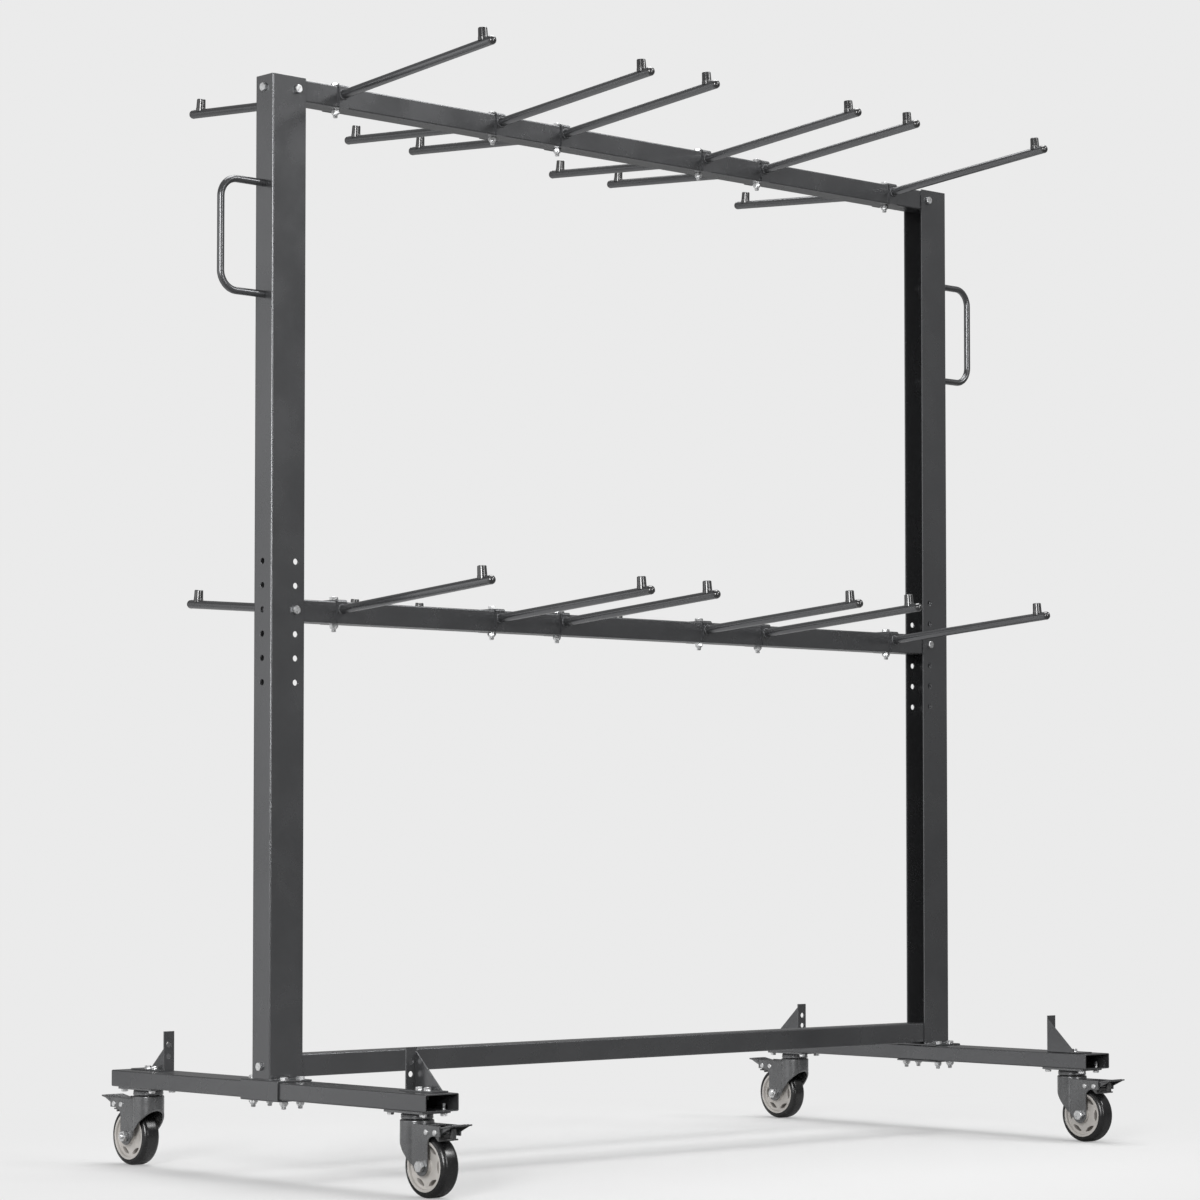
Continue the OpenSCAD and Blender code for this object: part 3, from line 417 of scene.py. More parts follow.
# Geometry nodes that put one piece on every point, turned as the point says
def makeRepeatTree():
    tree = bpy.data.node_groups.new("repeatPiece", "GeometryNodeTree")
    tree.interface.new_socket("Geometry", in_out="INPUT", socket_type="NodeSocketGeometry")
    named = {}
    for label, kind in (("Piece", "Object"), ("Size", "Float"), ("Finish", "Material")):
        socket = tree.interface.new_socket(label, in_out="INPUT", socket_type="NodeSocket" + kind)
        named[label] = socket.identifier
    tree.interface.new_socket("Geometry", in_out="OUTPUT", socket_type="NodeSocketGeometry")
    begin = tree.nodes.new("NodeGroupInput")
    info = addNode(tree, "GeometryNodeObjectInfo", transform_space="ORIGINAL")
    turn = addNode(tree, "GeometryNodeInputNamedAttribute", {"Name": "turn"}, data_type="FLOAT_VECTOR")
    euler = tree.nodes.new("FunctionNodeEulerToRotation")
    place = tree.nodes.new("GeometryNodeInstanceOnPoints")
    solid = tree.nodes.new("GeometryNodeRealizeInstances")
    paint = tree.nodes.new("GeometryNodeSetMaterial")
    finish = tree.nodes.new("NodeGroupOutput")
    for first, second in (
            (begin.outputs["Geometry"], place.inputs["Points"]),
            (begin.outputs["Piece"], info.inputs["Object"]),
            (info.outputs["Geometry"], place.inputs["Instance"]),
            (turn.outputs["Attribute"], euler.inputs["Euler"]),
            (euler.outputs["Rotation"], place.inputs["Rotation"]),
            (begin.outputs["Size"], place.inputs["Scale"]),
            (place.outputs["Instances"], solid.inputs["Geometry"]),
            (solid.outputs["Geometry"], paint.inputs["Geometry"]),
            (begin.outputs["Finish"], paint.inputs["Material"]),
            (paint.outputs["Geometry"], finish.inputs["Geometry"])):
        tree.links.new(first, second)
    return tree, named


repeatTree, repeatInputs = makeRepeatTree()


# Spots are a point, the direction of the piece's axis and its turn about that axis
def repeated(name, template, spots, finish):
    points = bpy.data.meshes.new(name + "Points")
    points.from_pydata([spot[0] for spot in spots], [], [])
    turns = points.attributes.new("turn", "FLOAT_VECTOR", "POINT")
    for entry, (point, axis, spin) in zip(turns.data, spots):
        turned = up.rotation_difference(axis) @ Quaternion(up, spin)
        entry.vector = turned.to_euler()
    part = holderFor(name + "Template", template)
    holder = holderFor(name + "Holder", points)
    modifier = holder.modifiers.new("repeat", "NODES")
    modifier.node_group = repeatTree
    modifier[repeatInputs["Piece"]] = part
    modifier[repeatInputs["Size"]] = 1.0
    modifier[repeatInputs["Finish"]] = finish
    mesh = bakeHolder(holder)
    bpy.data.objects.remove(part)
    return mesh


def centreOf(node):
    lo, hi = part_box(node)
    return (lo + hi) / 2


def sizeOf(node):
    lo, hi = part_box(node)
    return hi - lo


# Turn by the golden angle, so that no two heads stand alike
goldenAngle = 2.39996


def spinOf(index):
    return index * goldenAngle


# Posts, with the bent edges of their sleeves rounded
postSpec = {"ease": 0.45 * mm, "sleeveBend": 2.6 * mm, "sleeveHigh": 34.2 * mm}
for side, sign in sides.items():
    node = side + "_post"
    lo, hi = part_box(node)
    outer = lo.x if sign < 0 else hi.x
    levels = (lo.z, lo.z + postSpec["sleeveHigh"])

    def onSleeve(edge, outer=outer, levels=levels):
        a, b = (v.co for v in edge.verts)
        level = any(abs(a.z - z) < hair and abs(b.z - z) < hair for z in levels)
        return level and abs(a.x - outer) < hair and abs(b.x - outer) < hair

    mesh = softened(node, postSpec["ease"], [(onSleeve, postSpec["sleeveBend"], bendSteps)])
    addPiece(side + "Post", mesh, framePaint, "frame", [node])

# Foot tubes and beams
tubeSpec = {"ease": 0.4 * mm}
for node in ("left_foot_tube", "right_foot_tube", "bottom_beam", "middle_beam", "top_beam"):
    addPiece(node + "Piece", softened(node, tubeSpec["ease"]), framePaint, "frame", [node])
print("posts, feet and beams made")

# Chair arms: a bent saddle with two tubes
armSpec = {
    "radius": 7.5 * mm, "lift": 5 * mm, "rise": 29.6 * mm, "reach": 402 * mm, "width": 20 * mm,
    "sheet": 3 * mm, "fit": 0.1 * mm, "bend": 4.2 * mm, "ease": 0.4 * mm, "sides": 32}
beamSize = sizeOf("top_beam")
saddleIn = beamSize.y / 2 + armSpec["fit"]
saddleOut = saddleIn + armSpec["sheet"]
saddleTop = beamSize.z / 2 + armSpec["fit"] + armSpec["sheet"]
armRoot = saddleOut - armSpec["sheet"] / 2
armTilt = math.atan2(armSpec["rise"], armSpec["reach"] - armRoot)
armLength = math.hypot(armSpec["rise"], armSpec["reach"] - armRoot)
armPlaces = []


# Root of a tube, its direction and the normal on its upper side
def armTube(origin, end):
    root = origin + Vector((0, end * armRoot, armSpec["lift"]))
    along = Vector((0, end * math.cos(armTilt), math.sin(armTilt)))
    return root, along, Vector((0, -end * math.sin(armTilt), math.cos(armTilt)))


for row in ("middle", "top"):
    beamZ = centreOf(row + "_beam").z
    for number in range(1, 7):
        node = f"{row}_arm_{number}"
        origin = Vector((centreOf(node).x, 0, beamZ))
        armPlaces.append(origin)
        bm = newShape()
        half = beamSize.z / 2
        inner = saddleTop - armSpec["sheet"]
        innerBend = armSpec["bend"] - armSpec["sheet"]
        outline = filleted(
            [(-saddleOut, -half), (-saddleIn, -half), (-saddleIn, inner), (saddleIn, inner),
             (saddleIn, -half), (saddleOut, -half), (saddleOut, saddleTop), (-saddleOut, saddleTop)],
            [0, 0, innerBend, innerBend, 0, 0, armSpec["bend"], armSpec["bend"]])
        across = Matrix(((0, 0, 1, 0), (1, 0, 0, 0), (0, 1, 0, 0), (0, 0, 0, 1)))
        addPrism(bm, outline, Matrix.Translation(origin) @ across, armSpec["width"])
        bevelEdges(bm, sharpEdges(bm), armSpec["ease"], easeSteps)
        for end in (-1, 1):
            root, along, above = armTube(origin, end)
            place = Matrix.Translation(root) @ up.rotation_difference(along).to_matrix().to_4x4()
            r = armSpec["radius"]
            addLathe(bm, [(0, 0), (r, 0), (r, armLength), (0, armLength)], place, armSpec["sides"])
        addPiece(f"{row}Arm{number}", weighted(node, finishMesh(node, bm)), framePaint, "frame",
                 [node])
armTubes = [armTube(origin, end) for origin in armPlaces for end in (-1, 1)]

# End caps and stop studs on every tube
capSpec = {"radius": 7.75 * mm, "lip": 1.3 * mm, "dome": 7.6 * mm, "domeSteps": 9, "lap": 0.1 * mm,
           "ease": 0.3 * mm, "sides": 32}
bm = newShape()
r, lip, lap, ease = capSpec["radius"], capSpec["lip"], capSpec["lap"], capSpec["ease"]
profile = [(0, r)]
for k in range(1, capSpec["domeSteps"] + 1):
    a = math.radians(90 - 90 * k / capSpec["domeSteps"])
    profile.append((capSpec["dome"] * math.cos(a), lip + (r - lip) * math.sin(a)))
profile += [(r - lap, lip), (r, lip - ease), (r, ease - lap), (r - ease, -lap), (0, -lap)]
addLathe(bm, profile, Matrix.Identity(4), capSpec["sides"])
capMesh = finishMesh("cap", bm)

studSpec = {
    "foot": 8.5 * mm, "top": 7.5 * mm, "low": 3.8 * mm, "high": 25.5 * mm, "back": 20 * mm, "sides": 32,
    "dish": 0.5 * mm, "dishShares": (0.55, 0.7), "collar": 6 * mm, "step": 0.4 * mm,
    "dishRound": 0.6 * mm, "topRound": 1.5 * mm, "collarRound": 0.5 * mm, "footRound": 0.3 * mm,
    "sharp": 30}
bm = newShape()
foot, top, low, high = studSpec["foot"], studSpec["top"], studSpec["low"], studSpec["high"]
collar = low + studSpec["collar"]
dishIn, dishOut = (top * share for share in studSpec["dishShares"])
profile = filleted(
    [(0, high - studSpec["dish"]), (dishIn, high - studSpec["dish"]), (dishOut, high), (top, high),
     (foot - studSpec["step"], collar), (foot, collar - studSpec["step"]), (foot, low), (0, low)],
    [0, 0, studSpec["dishRound"], studSpec["topRound"],
     0, studSpec["collarRound"], studSpec["footRound"], 0])
addLathe(bm, profile, Matrix.Identity(4), studSpec["sides"])
studMesh = weighted("stud", finishMesh("stud", bm, studSpec["sharp"]))

capSpots = [(root + along * armLength, along, 0.0) for root, along, above in armTubes]
studReach = armLength - studSpec["back"]
studSpots = [(root + along * studReach, above, 0.0) for root, along, above in armTubes]
addPiece("armEndCaps", repeated("armEndCaps", capMesh, capSpots, blackPlastic), blackPlastic, "frame",
         ["arm_end_caps"])
addPiece("armStopStuds", repeated("armStopStuds", studMesh, studSpots, blackPlastic), blackPlastic, "frame",
         ["arm_stop_studs"])
print("chair arms made")

# Weld beads around the roots of the arms and the feet of the posts
beadSpec = {"radius": 1.7 * mm, "step": 1.9 * mm, "sides": 8, "angles": (90, 50, 15, -20, -55, -90),
            "offTube": 0.5 * mm, "postDepth": 23.8 * mm, "postRun": 67 * mm, "postCorner": 4 * mm,
            "inset": 0.2 * mm, "lift": 0.3 * mm, "sharp": 80}
bm = newShape()
r = beadSpec["radius"]
profile = [(r * math.cos(a), r * math.sin(a)) for a in map(math.radians, beadSpec["angles"])]
addLathe(bm, profile, Matrix.Identity(4), beadSpec["sides"])
beadMesh = finishMesh("bead", bm, beadSpec["sharp"])
beadSpots = []
ring = armSpec["radius"] + beadSpec["offTube"]
count = round(2 * math.pi * ring / beadSpec["step"])
for root, along, above in armTubes:
    face = root + along * ((saddleOut - armRoot) / math.cos(armTilt))
    for k in range(count):
        a = 2 * math.pi * k / count
        point = face + ring * (math.cos(a) * Vector((1, 0, 0)) + math.sin(a) * above)
        beadSpots.append((point, along, spinOf(k)))
for side, sign in sides.items():
    lo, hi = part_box(side + "_post")
    footLo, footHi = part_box(side + "_foot_tube")
    outer = (footLo.x if sign < 0 else footHi.x) - sign * beadSpec["inset"]
    inner = outer - sign * beadSpec["postRun"]
    depth, r = beadSpec["postDepth"], beadSpec["postCorner"]
    path = filleted([(inner, -depth), (outer, -depth), (outer, depth), (inner, depth)], [0, r, r, 0])
    level = lo.z + postSpec["sleeveHigh"] + beadSpec["lift"]
    walked = 0.0
    for first, second in zip(path, path[1:]):
        length = (second - first).length
        while walked < length:
            point = first + (second - first) * (walked / length)
            beadSpots.append((Vector((point.x, point.y, level)), up, spinOf(len(beadSpots))))
            walked += beadSpec["step"]
        walked -= length
mesh = repeated("weldBeads", beadMesh, beadSpots, framePaint)
addPiece("weldBeads", mesh, framePaint, "frame")

# Handles: one bent rod on each post
handleSpec = {"radius": 6 * mm, "bend": 32 * mm, "sides": 28, "steps": 14}
for side, sign in sides.items():
    node = side + "_handle"
    lo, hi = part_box(node)
    r = handleSpec["radius"]
    root = hi.x if sign < 0 else lo.x
    grip = (lo.x + r) if sign < 0 else (hi.x - r)
    path = filleted([(root, hi.z - r), (grip, hi.z - r), (grip, lo.z + r), (root, lo.z + r)],
                    [0, handleSpec["bend"], handleSpec["bend"], 0], handleSpec["steps"])
    bm = newShape()
    rings = []
    for i, point in enumerate(path):
        way = (path[min(i + 1, len(path) - 1)] - path[max(i - 1, 0)]).normalized()
        normal = Vector((-way.y, 0, way.x))
        rings.append([])
        for k in range(handleSpec["sides"]):
            a = 2 * math.pi * k / handleSpec["sides"]
            offset = normal * math.cos(a) * r + Vector((0, 1, 0)) * math.sin(a) * r
            rings[-1].append(bm.verts.new(Vector((point.x, 0, point.y)) + offset))
    for first, second in zip(rings, rings[1:]):
        joinRings(bm, first, second)
    bm.faces.new(rings[0])
    bm.faces.new(rings[-1])
    addPiece(side + "Handle", finishMesh(node, bm), framePaint, "frame", [node])

# Stop brackets, bent from one sheet
bracketSpec = {"ease": 0.4 * mm, "bend": 1.8 * mm}
for corner, (sx, sy) in corners.items():
    node = corner + "_stop_bracket"
    lo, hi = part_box(node)
    inX = hi.x if sx < 0 else lo.x
    inY = hi.y if sy < 0 else lo.y

    def onBend(edge, inX=inX, inY=inY, low=lo.z):
        a, b = (v.co for v in edge.verts)
        if abs(a.x - inX) > hair or abs(b.x - inX) > hair:
            return False
        upright = abs(a.y - inY) < hair and abs(b.y - inY) < hair
        return upright or (abs(a.z - low) < hair and abs(b.z - low) < hair)

    mesh = softened(node, bracketSpec["ease"], [(onBend, bracketSpec["bend"], bendSteps)])
    addPiece(corner + "StopBracket", mesh, framePaint, "frame", [node])
print("handles and brackets made")

# Fasteners: hexagons with a turned chamfer, washer faces and threads
hexSpec = {"steps": 6, "flatShare": 0.93, "chamfer": 30, "washerShare": 0.46, "sides": 36, "sharp": 30}
threadSpec = {"rootShare": 0.9, "endShare": 0.82, "longestShare": 0.8}
collarSpec = {"hexShare": 0.7, "sinkShare": 0.9, "rise": 0.9 * mm, "ease": 0.5 * mm, "easeShare": 0.93,
              "topShare": 0.78}


def addHex(bm, place, across, low, high, lowChamfer):
    steps = hexSpec["steps"]
    flat = across / 2
    inner = flat * hexSpec["flatShare"]
    rims = [[], [], [], []]
    for i in range(6 * steps):
        a = 2 * math.pi * i / (6 * steps)
        wrapped = (a + math.pi / 6) % (math.pi / 3) - math.pi / 6
        reach = flat / math.cos(wrapped)
        drop = (reach - inner) * math.tan(math.radians(hexSpec["chamfer"]))
        lowDrop = drop if lowChamfer else 0
        way = Vector((math.cos(a), math.sin(a), 0))
        rimPoints = ((inner, low), (reach, low + lowDrop), (reach, high - drop), (inner, high))
        for ring, (radius, level) in zip(rims, rimPoints):
            ring.append(bm.verts.new(place @ (way * radius + Vector((0, 0, level)))))
    for first, second in zip(rims, rims[1:]):
        joinRings(bm, first, second)
    bm.faces.new(rims[0])
    bm.faces.new(rims[3])


def threadProfile(radius, top, bottom, threadLength, pitch):
    profile = [(0, top), (radius, top)]
    level = bottom + threadLength
    while level > bottom + pitch:
        profile += [(radius, level), (radius * threadSpec["rootShare"], level - pitch / 2)]
        level -= pitch
    return profile + [(radius, level), (radius * threadSpec["endShare"], bottom), (0, bottom)]


# Head above a place and threaded shank below it
def addBolt(bm, place, spec, length):
    wide = spec["across"] * hexSpec["washerShare"]
    washer = [(0, 0), (wide, 0), (wide, spec["washer"]), (0, spec["washer"])]
    addLathe(bm, washer, place, hexSpec["sides"])
    addHex(bm, place, spec["across"], spec["washer"], spec["head"], False)
    threaded = min(spec["thread"], length * threadSpec["longestShare"])
    shank = threadProfile(spec["radius"], 0, -length, threaded, spec["pitch"])
    addLathe(bm, shank, place, spec["sides"])


def boltMesh(name, spec, length):
    bm = newShape()
    addBolt(bm, Matrix.Identity(4), spec, length)
    return finishMesh(name, bm, hexSpec["sharp"])


# Lock nut with a round collar above its hexagon
def nutMesh(name, spec):
    bm = newShape()
    still = Matrix.Identity(4)
    wide, high = spec["across"] * hexSpec["washerShare"], spec["nut"]
    hexHigh = high * collarSpec["hexShare"]
    low = hexHigh * collarSpec["sinkShare"]
    addHex(bm, still, spec["across"], 0, hexHigh, True)
    collar = [(0, low), (wide, low), (wide, hexHigh + collarSpec["rise"]),
              (wide * collarSpec["easeShare"], high - collarSpec["ease"]),
              (wide * collarSpec["topShare"], high), (0, high)]
    addLathe(bm, collar, still, hexSpec["sides"])
    return finishMesh(name, bm, hexSpec["sharp"])


# Screw with a coned flange under its hexagon
def screwMesh(name, spec):
    bm = newShape()
    still = Matrix.Identity(4)
    flange = [(0, 0), (spec["flange"], 0), (spec["flange"], spec["edge"]),
              (spec["across"] * spec["coneShare"], spec["flangeHigh"]), (0, spec["flangeHigh"])]
    addLathe(bm, flange, still, hexSpec["sides"])
    addHex(bm, still, spec["across"], spec["flangeHigh"] * spec["sinkShare"], spec["head"], False)
    shank = threadProfile(spec["radius"], 0, -spec["length"], spec["thread"], spec["pitch"])
    addLathe(bm, shank, still, spec["sides"])
    return finishMesh(name, bm, hexSpec["sharp"])


def addFasteners(name, template, spots, node):
    addPiece(name, repeated(name, template, spots, zincPlate), zincPlate, "frame", [node])


boltSpec = {"across": 13 * mm, "head": 5.3 * mm, "nut": 8 * mm, "radius": 4 * mm, "washer": 0.5 * mm,
            "thread": 16 * mm, "pitch": 1.25 * mm, "proud": 5 * mm, "sides": 24}
screwSpec = {"across": 10 * mm, "head": 5 * mm, "flange": 6.5 * mm, "flangeHigh": 1.5 * mm,
             "edge": 0.7 * mm, "coneShare": 0.56, "sinkShare": 0.9, "radius": 3 * mm,
             "length": 15 * mm, "thread": 8 * mm, "pitch": 1.0 * mm, "sides": 20}
fastenSpec = {"baseX": 17 * mm, "baseY": 41 * mm, "flangeIn": 51 * mm, "flangeY": 23.5 * mm,
              "webLength": 13.2 * mm, "postSheet": 2.5 * mm, "baseSpin": 2, "nutSpin": 5}
beamLow = beamSize.z / 2

armBoltLength = saddleTop + beamLow + boltSpec["nut"] + boltSpec["proud"]
spots = [(o + up * saddleTop, up, spinOf(i)) for i, o in enumerate(armPlaces)]
addFasteners("armBolts", boltMesh("armBolt", boltSpec, armBoltLength), spots, "arm_bolts")

baseSpots, webSpots, flangeSpots, nutSpots, screwSpots = [], [], [], [], []
for i, origin in enumerate(armPlaces):
    nutSpots.append((origin - up * beamLow, -up, spinOf(i + fastenSpec["nutSpin"])))
for side, sign in sides.items():
    outward = Vector((sign, 0, 0))
    footMid = centreOf(side + "_foot_tube")
    footLo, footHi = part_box(side + "_foot_tube")
    webX = footLo.x if sign < 0 else footHi.x
    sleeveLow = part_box(side + "_post")[0].z
    sleeveHigh = sleeveLow + postSpec["sleeveHigh"]
    for dx in (-1, 1):
        for dy in (-1, 1):
            x, y = footMid.x + dx * fastenSpec["baseX"], dy * fastenSpec["baseY"]
            spin = spinOf(len(baseSpots) + fastenSpec["baseSpin"])
            baseSpots.append((Vector((x, y, sleeveHigh)), up, spin))
            nutSpots.append((Vector((x, y, sleeveLow)), -up, spinOf(len(nutSpots))))
    for row in ("bottom", "top"):
        webSpots.append((Vector((webX, 0, centreOf(row + "_beam").z)), outward, spinOf(len(webSpots))))
    for row in ("middle", "top"):
        x, y = webX - sign * fastenSpec["flangeIn"], fastenSpec["flangeY"]
        z = centreOf(row + "_beam").z
        flangeSpots.append((Vector((x, -y, z)), Vector((0, -1, 0)), spinOf(len(flangeSpots))))
        nutSpots.append((Vector((x, y, z)), Vector((0, 1, 0)), spinOf(len(nutSpots))))
    lo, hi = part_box(side + "_handle")
    for z in (lo.z + handleSpec["radius"], hi.z - handleSpec["radius"]):
        seat = Vector((webX - sign * fastenSpec["postSheet"], 0, z))
        screwSpots.append((seat, -outward, spinOf(len(screwSpots))))

baseLength = postSpec["sleeveHigh"] + boltSpec["nut"] + boltSpec["proud"]
flangeLength = 2 * fastenSpec["flangeY"] + boltSpec["nut"] + boltSpec["proud"]
webBolt = boltMesh("webBolt", boltSpec, fastenSpec["webLength"])
addFasteners("baseBolts", boltMesh("baseBolt", boltSpec, baseLength), baseSpots, "frame_bolts")
addFasteners("webBolts", webBolt, webSpots, "frame_bolts")
addFasteners("flangeBolts", boltMesh("flangeBolt", boltSpec, flangeLength), flangeSpots, "frame_bolts")
addFasteners("hexNuts", nutMesh("hexNut", boltSpec), nutSpots, "hex_nuts")

bracketScrew = {"fromGusset": 19 * mm, "fromPlate": (31 * mm, 51 * mm), "sheet": 2.5 * mm}
plateScrew = {"x": 21 * mm, "y": 40 * mm, "sheet": 3.5 * mm}
for corner, (sx, sy) in corners.items():
    lo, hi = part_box(corner + "_stop_bracket")
    gusset = hi.x if sx < 0 else lo.x
    plate = hi.y if sy < 0 else lo.y
    for step in bracketScrew["fromPlate"]:
        point = Vector((gusset + sx * bracketScrew["fromGusset"], plate + sy * step,
                        lo.z + bracketScrew["sheet"]))
        screwSpots.append((point, up, spinOf(len(screwSpots))))
    lo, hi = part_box(corner + "_swivel_plate")
    middle = (lo + hi) / 2
    for dx in (-1, 1):
        for dy in (-1, 1):
            point = Vector((middle.x + dx * plateScrew["x"], middle.y + dy * plateScrew["y"],
                            hi.z - plateScrew["sheet"]))
            screwSpots.append((point, -up, spinOf(len(screwSpots))))
addFasteners("flangeScrews", screwMesh("flangeScrew", screwSpec), screwSpots, "flange_screws")
print("fasteners made")

# Casters
plateSpec = {
    "corner": 8 * mm, "cornerSteps": 6, "sheet": 3.5 * mm, "ease": 0.7 * mm,
    "head": 25.75 * mm, "lap": 0.1 * mm, "waist": 4.4 * mm, "roundSteps": 4, "sides": 72,
    "upperRows": ((2.2, 0, 0), (0.6, -3, 2)),  # inset from the head, rise and rounding, in mm
    "waistRows": ((0, 1.2, 0.4), (0.6, 0.5, 0), (0.6, 0, 0), (0, -0.6, 0.4)),
    "footRows": ((0, 0, 1.2), (3, 0, 0))}
forkSpec = {"ease": 0.6 * mm, "crownBend": 2.2 * mm, "crownRadius": 27.25 * mm, "crownZ": 120.5 * mm,
            "crownFit": 0.1 * mm}
axleSpec = {"across": 17 * mm, "head": 6.4 * mm, "nut": 8 * mm, "radius": 5 * mm, "washer": 0.6 * mm,
            "thread": 10 * mm, "pitch": 1.5 * mm, "sides": 28, "halfFork": 22.5 * mm,
            "sleeve": 7.5 * mm, "halfSleeve": 19.5 * mm, "sleeveSides": 40}
hubSpec = {"ease": 0.4 * mm, "boss": 13.5 * mm, "rimIn": 36.5 * mm, "halfDisc": 11 * mm,
           "halfRim": 16.6 * mm, "dish": 1.6 * mm, "lip": 0.9 * mm, "lipSteps": 3, "ringFit": 0.15 * mm,
           "shadeInset": 0.5 * mm, "shadeDepth": 0.7 * mm}
tyreSpec = {"sides": 144, "shoulder": 9 * mm, "shoulderTurns": [8.2 * k for k in range(11)],
            "inner": 40.55 * mm, "beadWide": 2.2 * mm, "moulding": 0.25 * mm,
            "beadRows": ((0, 0.6), (0.7, 0.05), (1.5, 0.25), (1.8, 0.5)),  # outwards and back, in mm
            "sharp": 50}
pedalSpec = {"ease": 0.5 * mm, "backZ": 5.5 * mm, "tipZ": 13.5 * mm, "back": 10 * mm, "front": 37 * mm,
             "ridges": 4, "firstRidge": 19 * mm, "ridgeStep": 5 * mm, "ridgeRadius": 0.8 * mm,
             "ridgeHalf": 17 * mm, "ridgeShare": 0.7, "ridgeSides": 12}
rivetSpec = {
    "apart": 21 * mm, "cheek": 22.4 * mm, "sides": 28,
    "rows": ((0, 1.95), (3, 1.9), (4.1, 1.75), (4.55, 1.5), (4.75, 1.1), (4.75, 0), (0, 0))}  # in mm
padSpec = {"ease": 0.6 * mm, "stub": 5.2 * mm, "stubAhead": 17 * mm, "stubLow": -9.2 * mm,
           "stubHigh": 7.4 * mm, "round": 1 * mm, "roundSteps": 3, "sides": 28}
alongX = Matrix.Rotation(math.pi / 2, 4, "Y")


# The part's hub, with its dished corners rounded and painted shade in its windows
def hubMesh(node, centre):
    spec = hubSpec

    def at(edge, radius, level):
        offs = [v.co - centre for v in edge.verts]
        return all(abs(math.hypot(off.y, off.z) - radius) < spec["ringFit"]
                   and abs(abs(off.x) - level) < hair for off in offs)

    def onDish(edge):
        return at(edge, spec["rimIn"], spec["halfDisc"]) or at(edge, spec["boss"], spec["halfDisc"])

    def onLip(edge):
        return at(edge, spec["rimIn"], spec["halfRim"])

    # Marks the floors of the windows, where shade is painted into the colour
    def shadeWindows(bm):
        recessShade = bm.verts.layers.float["recessShade"]
        for vert in bm.verts:
            off = vert.co - centre
            inDisc = spec["boss"] < math.hypot(off.y, off.z) < spec["rimIn"] - spec["shadeInset"]
            if inDisc and abs(off.x) < spec["halfDisc"] - spec["shadeDepth"]:
                vert[recessShade] = 1.0

    bends = [(onDish, spec["dish"], bendSteps), (onLip, spec["lip"], spec["lipSteps"])]
    return softened(node, spec["ease"], bends, shadeWindows)


def tyreMesh(name, centre, radius, half):
    spec = tyreSpec
    side = [(spec["inner"] + out * mm, half - back * mm) for out, back in spec["beadRows"]]
    for a in map(math.radians, spec["shoulderTurns"]):
        reach = radius - spec["shoulder"] + spec["shoulder"] * math.sin(a)
        level = half - spec["shoulder"] + spec["shoulder"] * math.cos(a)
        if reach > spec["inner"] + spec["beadWide"]:
            side.append((reach, level))
    side += [(radius, half - spec["shoulder"]), (radius, spec["moulding"]), (radius, 0)]
    loop = side + [(r, -z) for r, z in reversed(side[:-1])] + [(spec["inner"], 0)]
    bm = newShape()
    place = Matrix.Translation(centre) @ alongX
    turns = [2 * math.pi * i / spec["sides"] for i in range(spec["sides"])]
    rings = [[bm.verts.new(place @ Vector((r * math.cos(a), r * math.sin(a), z))) for a in turns]
             for r, z in loop]
    for first, second in zip(rings, rings[1:] + rings[:1]):
        joinRings(bm, first, second)
    return finishMesh(name, bm, spec["sharp"])


